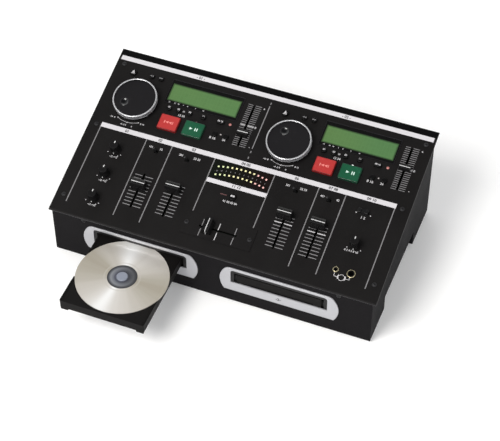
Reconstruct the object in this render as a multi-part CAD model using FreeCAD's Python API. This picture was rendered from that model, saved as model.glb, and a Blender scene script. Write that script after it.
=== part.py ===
import FreeCAD, Part
import math
import os

os.makedirs("parts", exist_ok=True)
V = FreeCAD.Vector

# A tabletop disc console: two front-loading disc decks and a four-channel mixer
# under one sloping panel.  X is right, Y is back, Z is up, in millimetres.
# Panel pieces are drawn flat, u across, v up the slope from the front edge and
# n out of the panel's top face, and are then laid on the slope by on_panel().

# --- case -----------------------------------------------------------------
mixer_depth = 137.4
deck_back_margin = 25.2
panel_side_margin = 6.0
panel_thickness = 2.5
panel_slope = 16.365
panel_front_height = 78.0
panel_overhang = 1.25
panel_rear_overhang = 1.3
panel_side_overhang = 4.5
panel_edge_round = 1.0
sheet = 1.2
flange_width = 15.0
tunnel_front = 57.0
tunnel_back = 176.0
tunnel_height = 27.0
foot_height = 3.0
foot_radius = 7.0
foot_inset_side = 24.0
foot_inset_end = 26.0

# --- clearances -----------------------------------------------------------
run_gap = 0.3
fit_gap = 0.15
shaft_gap = 0.05

# --- decks ----------------------------------------------------------------
jog_margin = 14.0
jog_gap = 5.5
pitch_gap = 7.8
pitch_margin = 12.7
jog_front_margin = 14.7
cue_front_margin = 15.5
button_row_gap = 11.1
display_row_gap = 7.2
pitch_front_margin = 25.9
search_gap = 13.6
search_offsets = (5.7, 19.3)
eject_gap = 12.6
eject_inset = 8.8
row_offsets = {"time": -40.5, "single": -27.0, "continue": -11.0, "program": 8.5, "range": 32.5}
cue_offset = -32.2
play_gap = 7.8
lower_offsets = {"pitch": 31.5, "bend": 47.5}
lower_rise = 2.9
slot_centre = 95.2
slot_side_margin = 4.4
slot_foot_gap = 0.4
slot_headroom = 6.9
slot_corner = 4.5
bezel_side = 15.0
bezel_chin = 15.2
bezel_brow = 3.8
bezel_thickness = 1.5
bezel_end_radius = 31.5
bezel_end_rise = 18.5
bezel_corner = 10.0
face_setback = 1.0
face_thickness = 3.0

# --- disc, tray and loader ------------------------------------------------
disc_diameter = 120.0
disc_thickness = 1.2
disc_bore = 15.0
disc_underside = 53.9
disc_open_y = -55.5
tray_width = 115.0
tray_lip = 4.0
tray_tail = 24.0
tray_corner_rise = 0.5
tray_pocket_gap = 1.0
tray_floor_drop = 0.9
tray_floor = 2.0
tray_wall = 2.5
tray_height = 12.5
tray_lug_drop = 3.0
tray_lug_width = 10.0
tray_lug_depth = 3.0
tray_lug_inset = 1.0
tray_lug_setback = 0.2
tray_corner = 2.0
tray_ridge = 1.2
tray_ridge_inset = 2.2
tray_ridge_gap = 2.0
turntable_radius = 16.0
turntable_thickness = 1.8
turntable_hole_gap = 1.0
hub_radius = 7.25
hub_rise = 1.6
spindle_radius = 1.5
motor_radius = 12.0
motor_height = 5.0
motor_plate = 1.5
motor_plate_size = 44.0
loader_wall = 2.5
loader_plate = 1.5
loader_headroom = 6.5
loader_rear_room = 4.0
loader_floor_room = 4.0
ledge_width = 4.0
loader_foot_length = 10.0

# --- controls -------------------------------------------------------------
board_depth = 10.0
board_thickness = 1.6
board_side_gap = 2.0
board_front_inset = 14.0
board_back_inset = 8.4
board_split = 3.0
board_split_offset = 0.6
standoff_radius = 3.0
standoff_inset = 6.0
standoff_side_inset = 5.0
standoff_middle = 50.0
switch_block_size = 6.0
window_rest = (30.0, 6.0)
button_travel = 0.8
button_rise = 2.6
button_flange = 1.2
button_flange_width = 1.2
button_stem_radius = 1.5
button_stem = 2.0
small_button_radius = 3.5
eject_button_radius = 4.5
relay_button_radius = 4.8
wide_button_length = 11.0
wide_button_width = 6.0
play_button_width = 27.0
play_button_depth = 22.0
play_button_rise = 3.4
square_corner = 1.5
cap_round = 0.6
panel_lift = 0.4

jog_radius = 29.5
jog_neck_radius = 26.0
jog_neck_rise = 5.5
jog_rise = 12.0
jog_ring_width = 2.2
jog_dish = 0.8
jog_dimple_radius = 6.0
jog_dimple_offset = 14.5
jog_dimple_depth = 1.6
jog_edge_round = 0.8
control_shaft_radius = 3.0
encoder_size = 14.0

knob_radius = 6.8
knob_top_radius = 5.6
knob_rise = 15.0
knob_skirt = 2.4
knob_step = 0.4
pot_size = 11.0

channel_travel = 45.0
pitch_travel = 56.0
fader_slot_width = 2.4
fader_blade_width = 5.0
fader_body_width = 12.0
fader_body_overrun = 7.0
fader_body_floor = 1.0
fader_body_room = 1.2
cap_top_share = 0.72
cap_saddle_share = 0.9
cap_saddle_sink = 0.08
channel_cap = (19.0, 12.0, 14.0)
cross_cap = (19.0, 11.5, 11.5)
pitch_cap = (15.0, 9.0, 6.0)
cross_plate_half = 48.5
cross_screw_reach = 43.0
cross_plate_front = 20.5
cross_plate_back = 52.2
cross_plate_thickness = 0.8

toggle_rise = 9.0
toggle_pivot_depth = 3.4
toggle_root_radius = 1.25
toggle_tip_radius = 1.9
toggle_tilt = 12.0
toggle_axle_radius = 1.2
toggle_slot_room = 1.0
toggle_body = (11.0, 9.0)
toggle_body_floor = 2.0
monitor_cap = (14.0, 6.0, 4.5)
monitor_grip = (5.0, 1.0, 1.2)
monitor_travel = 5.0
monitor_stem = (4.0, 3.0)
monitor_body_margin = (6.8, 4.0)
monitor_stem_lift = 4.0

lens_width = 103.0
lens_depth = 37.0
lens_flange = 2.0
lens_frame = 2.5
lens_flange_thickness = 1.0
lcd_thickness = 4.0
meter_width = 81.0
meter_depth = 25.0

screw_head_radius = 3.0
screw_head_height = 1.6
screw_radius = 1.5
screw_length = 7.0
screw_inset = 11.0
screw_front_inset = 25.5
screw_middle_offset = 1.9
screw_back_inset = 22.4
screw_cross = (3.2, 0.7, 0.9)
front_screw_x = 174.0
front_screw_drop = 5.6
front_tab_half = 6.0
front_tab_drop = 9.0

# --- sockets --------------------------------------------------------------
phones_bore = 3.2
phones_ring = 5.5
phones_body = 4.6
phones_depth = 18.0
small_bore = 1.8
small_ring = 3.8
small_body = 3.0
small_depth = 13.0
ring_rise = 1.2
socket_floor = 1.5
socket_room = 1.0
phono_radius = 4.15
phono_length = 9.0
phono_bore = 1.6
phono_bore_depth = 8.0
phono_pitch = 14.0
phono_base = (13.0, 27.0, 2.0)
phono_body_depth = 10.0
phono_lip = 1.0
rear_socket_height = 62.0
inlet_opening = (27.0, 20.0)
inlet_frame = (33.0, 26.0)
inlet_frame_thickness = 2.0
inlet_wall = 1.5
inlet_depth = 18.0
inlet_floor = 2.5
inlet_pin = (2.0, 4.0, 11.0)
inlet_pin_pitch = 7.0
inlet_pin_drop = 2.5
inlet_earth_rise = 1.5
rocker_opening = (13.0, 19.0)
rocker_frame = (17.0, 23.0)
rocker_radius = 7.6
rocker_tilt = 8.0
rocker_axle_share = 0.72
rocker_flat_share = 0.62
rocker_body_depth = 12.0
supply_centre = 125.0
supply_board_length = 130.0
supply_board_lift = 6.0
supply_leg_radius = 3.0
supply_leg_inset = 6.0
transformer_x = 152.0
transformer_core = (48.0, 40.0, 10.0)
transformer_coil = (34.0, 32.0, 20.0)
capacitor_x = (76.0, 98.0)
capacitor_radius = 8.0
capacitor_height = 25.0

# --- derived places -------------------------------------------------------
slope_tan = math.tan(math.radians(panel_slope))
slope_cos = math.cos(math.radians(panel_slope))
deck_width = (jog_margin + 2 * jog_radius + jog_gap + lens_width
              + pitch_gap + pitch_cap[0] + pitch_margin)
jog_rows = jog_front_margin + 2 * jog_radius + search_gap
display_rows = cue_front_margin + play_button_depth + button_row_gap + display_row_gap + lens_depth
deck_depth = max(jog_rows, display_rows) + deck_back_margin
panel_width = 2 * (deck_width + panel_side_margin)
panel_depth = mixer_depth + deck_depth
body_width = panel_width - 2 * panel_side_overhang
body_depth = panel_depth * slope_cos - panel_overhang - panel_rear_overhang
under_panel = -panel_thickness
board_top = -board_depth
board_bottom = board_top - board_thickness
half_body = body_width / 2
half_panel = panel_width / 2

disc_radius = disc_diameter / 2
tray_top = disc_underside + disc_thickness + tray_corner_rise
tray_bottom = tray_top - tray_height
pocket_floor = disc_underside - tray_floor_drop
floor_under = pocket_floor - tray_floor
tray_front_open = disc_open_y - disc_radius - tray_lip
face_front = -bezel_thickness + face_setback
tray_travel = face_front - tray_front_open
tray_length = 2 * disc_radius + tray_lip + tray_tail
tray_window_half = max(disc_radius, tray_width / 2) + 2 * run_gap
hub_top = disc_underside + disc_thickness + hub_rise
tray_window_top = max(hub_top, tray_top + tray_ridge / 2) + 2 * run_gap
loader_inner_half = tray_window_half
loader_outer_half = loader_inner_half + loader_wall
loader_front = face_front + face_thickness
loader_back = face_front + tray_length + loader_rear_room + loader_plate
loader_ceiling = tray_top + loader_headroom
loader_floor = tray_bottom - loader_floor_room
slot_width = 2 * (tray_window_half + slot_side_margin)
slot_bottom = tray_bottom - tray_lug_drop - slot_foot_gap
slot_top = tray_top + slot_headroom
bezel_half_width = slot_width / 2 + bezel_side
bezel_bottom = slot_bottom - bezel_chin
bezel_top = slot_top + bezel_brow
bezel_end_height = bezel_bottom + bezel_end_rise

rear_edge_y = body_depth + max(phono_base[2] + phono_length, inlet_frame_thickness)
front_edge_y = tray_front_open
middle_y = (rear_edge_y + front_edge_y) / 2

panel_place = FreeCAD.Placement(
    V(0, -panel_overhang, panel_front_height),
    FreeCAD.Rotation(V(1, 0, 0), panel_slope))


# --- shape helpers --------------------------------------------------------
def block(x0, x1, y0, y1, z0, z1):
    return Part.makeBox(x1 - x0, y1 - y0, z1 - z0, V(x0, y0, z0))


def post(radius, z0, z1, x=0.0, y=0.0):
    return Part.makeCylinder(radius, z1 - z0, V(x, y, z0))


def taper(radius0, radius1, z0, z1, x=0.0, y=0.0):
    return Part.makeCone(radius0, radius1, z1 - z0, V(x, y, z0))


def rod_y(radius, y0, y1, x, z):
    return Part.makeCylinder(radius, y1 - y0, V(x, y0, z), V(0, 1, 0))


def slab(width, depth, z0, z1, x=0.0, y=0.0, corner=0.0):
    """A rectangular plate about (x, y) with round upright corners."""
    shape = block(x - width / 2, x + width / 2, y - depth / 2, y + depth / 2, z0, z1)
    if corner > 0:
        uprights = [e for e in shape.Edges
                    if abs(e.Vertexes[0].Z - e.Vertexes[1].Z) > (z1 - z0) / 2]
        shape = shape.makeFillet(min(corner, width / 2.01, depth / 2.01), uprights)
    return shape


def soften(shape, z, radius):
    """Round the edges that lie in the level z."""
    rim = [e for e in shape.Edges
           if all(abs(p.Z - z) < 1e-6 for p in e.Vertexes)]
    return shape.makeFillet(radius, rim)


def prism_x(points, width):
    """A y-z outline carried across X, centred on x = 0."""
    wire = Part.makePolygon([V(-width / 2, y, z) for y, z in points + points[:1]])
    return Part.Face(wire).extrude(V(width, 0, 0))


def fuse(shapes):
    return shapes[0].multiFuse(shapes[1:]).removeSplitter()


def cut(shape, tools):
    return shape.cut(Part.makeCompound(tools))


def on_panel(shape):
    placed = shape.copy()
    placed.Placement = panel_place.multiply(placed.Placement)
    return placed


def save(name, solids):
    group = Part.makeCompound(solids) if isinstance(solids, list) else solids
    group.translate(V(0, -middle_y, 0))
    group.exportStep("parts/%s.step" % name)


def under_height(y):
    """Height of the panel's underside above a point of the footprint."""
    top = panel_front_height + (y + panel_overhang) * slope_tan
    return top - panel_thickness / slope_cos


# --- where the controls sit on the panel (u, v) ---------------------------
def deck_places(left):
    """Places in a deck whose left edge is at left: jog wheel, display and pitch fader side by side."""
    jog_u = left + jog_margin + jog_radius
    display_u = jog_u + jog_radius + jog_gap + lens_width / 2
    pitch_u = display_u + lens_width / 2 + pitch_gap + pitch_cap[0] / 2
    jog_v = mixer_depth + jog_front_margin + jog_radius
    cue_v = mixer_depth + cue_front_margin + play_button_depth / 2
    row_v = cue_v + play_button_depth / 2 + button_row_gap
    search_v = jog_v + jog_radius + search_gap
    cue_u = display_u + cue_offset
    places = {
        "eject_button": (jog_u - jog_radius + eject_inset, jog_v + jog_radius + eject_gap),
        "search_back_button": (jog_u + search_offsets[0], search_v),
        "search_forward_button": (jog_u + search_offsets[1], search_v),
        "cue_button": (cue_u, cue_v),
        "play_button": (cue_u + play_button_width + play_gap, cue_v),
        "jog_wheel": (jog_u, jog_v),
        "display": (display_u, row_v + display_row_gap + lens_depth / 2),
        "pitch_fader": (pitch_u, mixer_depth + pitch_front_margin + pitch_travel / 2),
    }
    for name, offset in row_offsets.items():
        places[name + "_button"] = (display_u + offset, row_v)
    for name, offset in lower_offsets.items():
        places[name + "_button"] = (display_u + offset, cue_v + lower_rise)
    return places


decks = {"left": deck_places(-deck_width), "right": deck_places(0.0)}
round_buttons = ["search_back_button", "search_forward_button", "time_button", "single_button",
                 "continue_button", "program_button", "pitch_button", "bend_button"]
pitch_rest = {"left": -12.7, "right": 0.8}
dimple_angle = {"left": 219.7, "right": 130.4}

channel_fader_u = [-121.2, -76.2, 74.2, 119.2]
channel_fader_v = 59.2
channel_rest = [5.8, 14.8, channel_travel / 2, channel_travel / 2]
cross_place = (-0.5, 36.0)
cross_rest = -13.0
knob_places = {
    "treble_knob": (-171.8, 106.0),
    "bass_knob": (-171.8, 68.8),
    "microphone_knob": (-171.8, 31.5),
    "monitor_knob": (171.8, 69.2),
}
toggle_places = [(-119.8, 119.6), (-75.8, 119.6), (74.7, 119.2), (119.8, 119.2)]
monitor_switch_place = (166.6, 116.5)
relay_place = (0.5, 86.5)
meter_place = (-0.5, 119.6)
phones_place = (180.0, 30.5)
small_phones_place = (159.8, 30.5)
screw_rows = (screw_front_inset, mixer_depth - screw_middle_offset, panel_depth - screw_back_inset)
panel_screws = [(side * (half_panel - screw_inset), v) for side in (-1, 1) for v in screw_rows]
cross_screws = [(cross_place[0] + side * cross_screw_reach, cross_place[1]) for side in (-1, 1)]
front_screws = [(side * front_screw_x, panel_front_height - front_screw_drop) for side in (-1, 1)]

phono_x = [-176.0, -146.0, -116.0, -86.0]
microphone_x = -40.0
inlet_x = 150.0
rocker_x = 110.0


# --- case pieces ----------------------------------------------------------
def case_outline(inset, top_of):
    """Side outline of the case, moved inwards by inset, with its own top line."""
    low = foot_height + inset
    front = inset
    back = body_depth - inset
    return [(front, low), (tunnel_front - inset, low), (tunnel_front - inset, tunnel_height + inset),
            (tunnel_back + inset, tunnel_height + inset), (tunnel_back + inset, low), (back, low),
            (back, top_of(back)), (front, top_of(front))]


def slot_cut(x, depth0, depth1, gap=0.0):
    """The rounded loading slot as a cutting block along Y."""
    width = slot_width + 2 * gap
    height = slot_top - slot_bottom + 2 * gap
    shape = slab(width, height, 0, depth1 - depth0, 0, 0)
    top_edges = [e for e in shape.Edges
                 if abs(e.Vertexes[0].Z - e.Vertexes[1].Z) > (depth1 - depth0) / 2
                 and e.Vertexes[0].Y < 0]
    shape = shape.makeFillet(slot_corner, top_edges)
    shape.Placement = FreeCAD.Placement(
        V(x, depth0, (slot_top + slot_bottom) / 2), FreeCAD.Rotation(V(1, 0, 0), -90))
    return shape


def rear_cuts():
    y0 = body_depth - 2 * sheet
    y1 = body_depth + sheet
    tools = []
    for x in phono_x:
        half_w = phono_base[0] / 2 - phono_lip
        half_h = phono_base[1] / 2 - phono_lip
        tools.append(block(x - half_w - fit_gap, x + half_w + fit_gap, y0, y1,
                           rear_socket_height - half_h - fit_gap, rear_socket_height + half_h + fit_gap))
    tools.append(rod_y(phones_body + fit_gap, y0, y1, microphone_x, rear_socket_height))
    for x, (width, height) in ((inlet_x, inlet_opening), (rocker_x, rocker_opening)):
        tools.append(block(x - width / 2 - fit_gap, x + width / 2 + fit_gap, y0, y1,
                           rear_socket_height - height / 2 - fit_gap,
                           rear_socket_height + height / 2 + fit_gap))
    return tools


def make_chassis():
    """A folded pan between two side cheeks, which carry the flanges under the panel."""
    width = body_width - 2 * sheet
    inside = case_outline(sheet, lambda y: under_height(y) + 3 * sheet)
    pan = prism_x(case_outline(0.0, under_height), width).cut(prism_x(inside, body_width))
    tools = rear_cuts()
    for side in (-1, 1):
        tools.append(slot_cut(side * slot_centre, -sheet, 2 * sheet, fit_gap))
    for x, z in front_screws:
        tools.append(rod_y(screw_radius + fit_gap, -sheet, 2 * sheet, x, z))
    pieces = [cut(pan, tools)]
    y0, y1 = sheet, body_depth - sheet
    strip = [(y0, under_height(y0) - sheet), (y1, under_height(y1) - sheet),
             (y1, under_height(y1)), (y0, under_height(y0))]
    screw_holes = [on_panel(post(screw_radius + fit_gap, -screw_length - 1, 1, u, v))
                   for u, v in panel_screws]
    for side in (-1, 1):
        cheek = prism_x(case_outline(0.0, under_height), sheet)
        cheek.translate(V(side * (half_body - sheet / 2), 0, 0))
        flange = prism_x(strip, flange_width)
        flange.translate(V(side * (half_body - flange_width / 2), 0, 0))
        pieces.append(cut(fuse([cheek, flange]), screw_holes))
    return pieces


def panel_holes():
    low, high = -3 * panel_thickness, panel_thickness
    tools = []
    for places in decks.values():
        for name in round_buttons:
            tools.append(post(small_button_radius + run_gap, low, high, *places[name]))
        tools.append(post(eject_button_radius + run_gap, low, high, *places["eject_button"]))
        tools.append(slab(wide_button_length + 2 * run_gap, wide_button_width + 2 * run_gap, low, high,
                          *places["range_button"], corner=wide_button_width))
        for name in ("cue_button", "play_button"):
            tools.append(slab(play_button_width + 2 * run_gap, play_button_depth + 2 * run_gap,
                              low, high, *places[name], corner=square_corner + run_gap))
        tools.append(post(control_shaft_radius + run_gap, low, high, *places["jog_wheel"]))
        tools.append(slab(lens_width + 2 * fit_gap, lens_depth + 2 * fit_gap, low, high,
                          *places["display"]))
        tools.append(fader_slot("v", pitch_travel, places["pitch_fader"], low, high))
    for u in channel_fader_u:
        tools.append(fader_slot("v", channel_travel, (u, channel_fader_v), low, high))
    tools.append(fader_slot("u", channel_travel, cross_place, low, high))
    for place in knob_places.values():
        tools.append(post(control_shaft_radius + run_gap, low, high, *place))
    for place in toggle_places:
        tools.append(slab(2 * toggle_hole_half(), 2 * (toggle_root_radius + run_gap) + toggle_slot_room,
                          low, high, *place))
    u, v = monitor_switch_place
    tools.append(slab(monitor_travel + monitor_stem[0] + 4 * run_gap, monitor_stem[1], low, high,
                      u + monitor_travel / 2, v))
    tools.append(post(relay_button_radius + run_gap, low, high, *relay_place))
    tools.append(slab(meter_width + 2 * fit_gap, meter_depth + 2 * fit_gap, low, high, *meter_place))
    tools.append(post(phones_body + fit_gap, low, high, *phones_place))
    tools.append(post(small_body + fit_gap, low, high, *small_phones_place))
    for u, v in panel_screws + cross_screws:
        tools.append(post(screw_radius + fit_gap, low, high, u, v))
    return tools


def toggle_hole_half():
    """Half the slot that lets a toggle lever swing in the panel's thickness."""
    swing = toggle_pivot_depth * math.sin(math.radians(toggle_tilt))
    return toggle_tip_radius + swing + run_gap


def fader_slot(along, travel, place, low, high, extra=0.0):
    length = travel + fader_blade_width + 4 * run_gap + extra
    width = fader_slot_width + extra
    if along == "v":
        return slab(width, length, low, high, *place)
    return slab(length, width, low, high, *place)


def make_panel():
    plate = block(-half_panel, half_panel, 0, panel_depth, under_panel, 0)
    front_edge = [e for e in plate.Edges
                  if all(abs(p.Z) < 1e-6 for p in e.Vertexes)]
    plate = plate.makeFillet(min(panel_edge_round, panel_thickness / 2.5), front_edge)
    plate = on_panel(cut(plate, panel_holes()))
    tabs = []
    for x, z in front_screws:
        tab = block(x - front_tab_half, x + front_tab_half, sheet, 2 * sheet,
                    under_height(sheet) - front_tab_drop, under_height(2 * sheet))
        beyond = 3 * sheet
        tab = tab.cut(prism_x([(0, under_height(0)), (beyond, under_height(beyond)),
                               (beyond, under_height(beyond) + front_tab_drop),
                               (0, under_height(0) + front_tab_drop)], panel_width))
        tab = tab.cut(rod_y(screw_radius + fit_gap, 0, 3 * sheet, x, z))
        tabs.append(tab)
    plate = fuse([plate] + tabs)
    cross_depth = cross_plate_back - cross_plate_front
    cover = slab(2 * cross_plate_half, cross_depth, 0, cross_plate_thickness,
                 cross_place[0], (cross_plate_back + cross_plate_front) / 2, corner=1.0)
    cover_tools = [fader_slot("u", channel_travel, cross_place, -1, panel_thickness)]
    cover_tools += [post(screw_radius + fit_gap, -1, panel_thickness, u, v) for u, v in cross_screws]
    return [plate, on_panel(cut(cover, cover_tools))]


def bezel_outline(x):
    """Silver surround: flat top and bottom, ends on one large arc each."""
    dz_low = bezel_end_height - bezel_bottom
    dz_high = bezel_top - bezel_end_height
    centre = bezel_half_width - bezel_end_radius
    reach_low = centre + math.sqrt(bezel_end_radius ** 2 - dz_low ** 2)
    reach_high = centre + math.sqrt(bezel_end_radius ** 2 - dz_high ** 2)

    def at(dx, z):
        return V(x + dx, 0, z)

    edges = [Part.LineSegment(at(-reach_low, bezel_bottom), at(reach_low, bezel_bottom)).toShape(),
             Part.Arc(at(reach_low, bezel_bottom), at(bezel_half_width, bezel_end_height),
                      at(reach_high, bezel_top)).toShape(),
             Part.LineSegment(at(reach_high, bezel_top), at(-reach_high, bezel_top)).toShape(),
             Part.Arc(at(-reach_high, bezel_top), at(-bezel_half_width, bezel_end_height),
                      at(-reach_low, bezel_bottom)).toShape()]
    return Part.Face(Part.Wire(edges))


def make_bezels():
    bezels = []
    for side in (-1, 1):
        x = side * slot_centre
        plate = bezel_outline(x).extrude(V(0, -bezel_thickness, 0))
        corners = [e for e in plate.Edges
                   if abs(e.Vertexes[0].Y - e.Vertexes[-1].Y) > bezel_thickness / 2
                   and e.Vertexes[0].Z > bezel_top - 0.01]
        plate = plate.makeFillet(bezel_corner, corners)
        rim = [e for e in plate.Edges if all(abs(p.Y + bezel_thickness) < 1e-6 for p in e.Vertexes)]
        plate = plate.makeFillet(bezel_thickness / 3, rim)
        bezels.append(plate.cut(slot_cut(x, -2 * bezel_thickness, sheet)))
    return bezels


# --- loaders and trays ----------------------------------------------------
def make_loader(x):
    """Fixed box that guides a tray: floor on feet, walls, guides, ledges, lid, back and face."""
    y0, y1 = loader_front, loader_back
    floor_low = loader_floor - loader_plate
    guide_face = tray_width / 2 + run_gap
    floor = [block(-loader_inner_half, loader_inner_half, y0, y1, floor_low, loader_floor)]
    for y in (tunnel_front + loader_foot_length, loader_back - 2 * loader_foot_length):
        floor.append(block(-loader_outer_half, loader_outer_half, y, y + loader_foot_length,
                           tunnel_height + sheet, floor_low))
    lid = block(-loader_inner_half, loader_inner_half, y0, y1,
                loader_ceiling, loader_ceiling + loader_plate)
    back = block(-loader_inner_half, loader_inner_half, y1 - loader_plate, y1,
                 loader_floor, loader_ceiling)
    face_rail = block(-tray_window_half, tray_window_half, face_front, loader_front,
                      tray_window_top, slot_top - fit_gap)
    window = block(-tray_window_half, tray_window_half, face_front - 1, loader_front + 1,
                   slot_bottom - 1, slot_top + 1)
    jambs = slot_cut(0, face_front, loader_front, -fit_gap).cut(window).Solids
    pieces = [fuse(floor), lid, back, face_rail] + jambs
    for side in (-1, 1):
        wall = block(loader_inner_half, loader_outer_half, y0, y1,
                     floor_low, loader_ceiling + loader_plate)
        guide = block(guide_face, loader_inner_half, y0, y1 - loader_plate,
                      loader_floor, floor_under - run_gap)
        ledge = block(guide_face - ledge_width, guide_face, y0 + tray_lug_depth, y1 - loader_plate,
                      loader_floor, tray_bottom - run_gap)
        for piece in (wall, guide, ledge):
            pieces.append(piece.mirror(V(0, 0, 0), V(1, 0, 0)) if side < 0 else piece)
    for piece in pieces:
        piece.translate(V(x, 0, 0))
    return pieces


def make_tray(x, shift):
    """Disc tray drawn open and moved back by shift; its motor hangs under the floor."""
    y0 = tray_front_open
    y1 = y0 + tray_length
    half = tray_width / 2
    body = slab(tray_width, tray_length, tray_bottom, tray_top, x, (y0 + y1) / 2, corner=tray_corner)
    hollow = block(x - half + tray_wall, x + half - tray_wall, y0 + tray_lug_depth, y1 - tray_wall,
                   tray_bottom - 1, floor_under)
    pocket = post(disc_radius + tray_pocket_gap, pocket_floor, tray_top + 1, x, disc_open_y)
    well = post(turntable_radius + turntable_hole_gap, floor_under - 1, tray_top, x, disc_open_y)
    body = cut(body, [hollow, pocket, well])
    lug_u = half - tray_lug_width / 2 - tray_lug_inset
    lug_y = y0 + tray_lug_depth / 2 + tray_lug_setback
    lugs = [slab(tray_lug_width, tray_lug_depth, tray_bottom - tray_lug_drop, tray_bottom,
                 x + side * lug_u, lug_y) for side in (-1, 1)]
    ridge_room = post(disc_radius + 2 * tray_pocket_gap, tray_top - 1, tray_top + 2 * tray_ridge,
                      x, disc_open_y)
    ridges = []
    for side in (-1, 1):
        edge = x + side * (half - tray_ridge_inset)
        strip = block(edge - tray_ridge / 2, edge + tray_ridge / 2, y0 + tray_ridge_gap, y1 - tray_ridge_gap,
                      tray_top, tray_top + tray_ridge / 2)
        ridges.append(strip.cut(ridge_room))
    body = fuse([body] + lugs + ridges)
    plate = slab(motor_plate_size, motor_plate_size, floor_under - motor_plate, floor_under, x, disc_open_y)
    motor = post(motor_radius, floor_under - motor_plate - motor_height, floor_under - motor_plate,
                 x, disc_open_y)
    mount = fuse([plate, motor])
    bore = post(spindle_radius + shaft_gap, floor_under - motor_plate - motor_height + 1,
                floor_under + 1, x, disc_open_y)
    pieces = [body, mount.cut(bore)]
    for piece in pieces:
        piece.translate(V(0, shift, 0))
    return pieces


def make_turntable(x, shift):
    top = disc_underside - run_gap
    y = disc_open_y + shift
    platter = post(turntable_radius, top - turntable_thickness, top, x, y)
    hub = post(hub_radius, top, disc_underside + disc_thickness + hub_rise, x, y)
    hub = soften(hub, disc_underside + disc_thickness + hub_rise, hub_rise / 1.5)
    spindle = post(spindle_radius, floor_under - motor_plate - motor_height + 1 + run_gap, top, x, y)
    return fuse([platter, hub, spindle])


def make_disc(x):
    disc = post(disc_radius, disc_underside, disc_underside + disc_thickness, x, disc_open_y)
    bore = post(disc_bore / 2, disc_underside - 1, disc_underside + 2 * disc_thickness, x, disc_open_y)
    return disc.cut(bore)


# --- buttons, wheels, knobs and faders ------------------------------------
def button_from(cap, flange, place, rise):
    """A cap that passes the panel, a flange that holds it in and a stem to its switch."""
    top = soften(cap, rise, cap_round)
    flange_low = under_panel - run_gap - button_flange
    stem = post(button_stem_radius, flange_low - button_stem, flange_low, *place)
    return on_panel(fuse([top, flange, stem]))


def round_button(place, radius, rise=button_rise):
    flange_low = under_panel - run_gap - button_flange
    cap = post(radius, under_panel - run_gap, rise, *place)
    flange = post(radius + button_flange_width, flange_low, under_panel - run_gap, *place)
    return button_from(cap, flange, place, rise)


def square_button(place, width, depth, rise, corner):
    flange_low = under_panel - run_gap - button_flange
    cap = slab(width, depth, under_panel - run_gap, rise, *place, corner=corner)
    flange = slab(width + 2 * button_flange_width, depth + 2 * button_flange_width, flange_low,
                  under_panel - run_gap, *place)
    return button_from(cap, flange, place, rise)


def make_jog(place, angle):
    u, v = place
    low = panel_lift
    neck = post(jog_neck_radius, low, jog_neck_rise, u, v)
    rim = soften(post(jog_radius, jog_neck_rise, jog_rise, u, v), jog_rise, jog_edge_round)
    shaft = post(control_shaft_radius, board_top + run_gap, low, u, v)
    wheel = fuse([neck, rim, shaft])
    dish = post(jog_radius - jog_ring_width, jog_rise - jog_dish, jog_rise + 1, u, v)
    turn = math.radians(angle)
    dimple_u = u + jog_dimple_offset * math.cos(turn)
    dimple_v = v + jog_dimple_offset * math.sin(turn)
    ball = (jog_dimple_radius ** 2 + jog_dimple_depth ** 2) / (2 * jog_dimple_depth)
    scoop = Part.makeSphere(ball, V(dimple_u, dimple_v, jog_rise - jog_dish - jog_dimple_depth + ball))
    return on_panel(cut(wheel, [dish, scoop]))


def make_knob(place):
    u, v = place
    low = panel_lift
    skirt = post(knob_radius, low, low + knob_skirt, u, v)
    grip = taper(knob_radius - knob_step, knob_top_radius, low + knob_skirt, knob_rise, u, v)
    grip = soften(grip, knob_rise, cap_round)
    shaft = post(control_shaft_radius, board_top + run_gap, low, u, v)
    return on_panel(fuse([skirt, grip, shaft]))


def make_fader(along, place, cap_size, base, offset):
    """A fader cap with a saddle across its top, on a flat blade."""
    across, length, rise = cap_size
    u, v = place
    if along == "v":
        v += offset
    else:
        u += offset
    low = base + run_gap
    top_half = length * cap_top_share / 2
    profile = [V(0, -length / 2, low), V(0, length / 2, low), V(0, top_half, rise), V(0, -top_half, rise)]
    face = Part.Face(Part.makePolygon(profile + profile[:1]))
    cap = face.extrude(V(across, 0, 0))
    cap.translate(V(-across / 2, 0, 0))
    saddle = length * cap_saddle_share
    saddle_centre = V(-across / 2 - 1, 0, rise + saddle * (1 - cap_saddle_sink))
    scoop = Part.makeCylinder(saddle, across + 2, saddle_centre, V(1, 0, 0))
    cap = cap.cut(scoop)
    blade_low = board_top + fader_body_floor + run_gap
    blade = slab(fader_slot_width - 2 * run_gap, fader_blade_width, blade_low, low)
    knob = fuse([cap, blade])
    if along == "u":
        knob.rotate(V(0, 0, 0), V(0, 0, 1), 90)
    knob.translate(V(u, v, 0))
    return on_panel(knob)


def make_toggle(place):
    """A short bat lever, drawn leaning to the left."""
    u, v = place
    pivot = -toggle_pivot_depth
    ball = Part.makeSphere(toggle_tip_radius, V(u, v, pivot))
    stem = taper(toggle_root_radius, toggle_tip_radius, pivot, toggle_rise - toggle_tip_radius, u, v)
    tip = Part.makeSphere(toggle_tip_radius, V(u, v, toggle_rise - toggle_tip_radius))
    axle = rod_y(toggle_axle_radius, v - toggle_tip_radius, v + toggle_tip_radius, u, pivot)
    lever = fuse([ball, axle, stem, tip])
    lever.rotate(V(u, v, pivot), V(0, 1, 0), -toggle_tilt)
    return on_panel(lever)


def make_monitor_switch():
    u, v = monitor_switch_place
    width, depth, rise = monitor_cap
    cap = soften(slab(width, depth, run_gap, rise, u, v, corner=1.0), rise, 0.5)
    grip_width, grip_overrun, grip_depth = monitor_grip
    finger = slab(grip_width, depth + grip_overrun, rise - grip_depth, rise + 1, u, v)
    stem_low = board_top + monitor_stem_lift
    stem = slab(monitor_stem[0], monitor_stem[1] - 2 * run_gap, stem_low, run_gap, u, v)
    return on_panel(fuse([cap.cut(finger), stem]))


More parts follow.
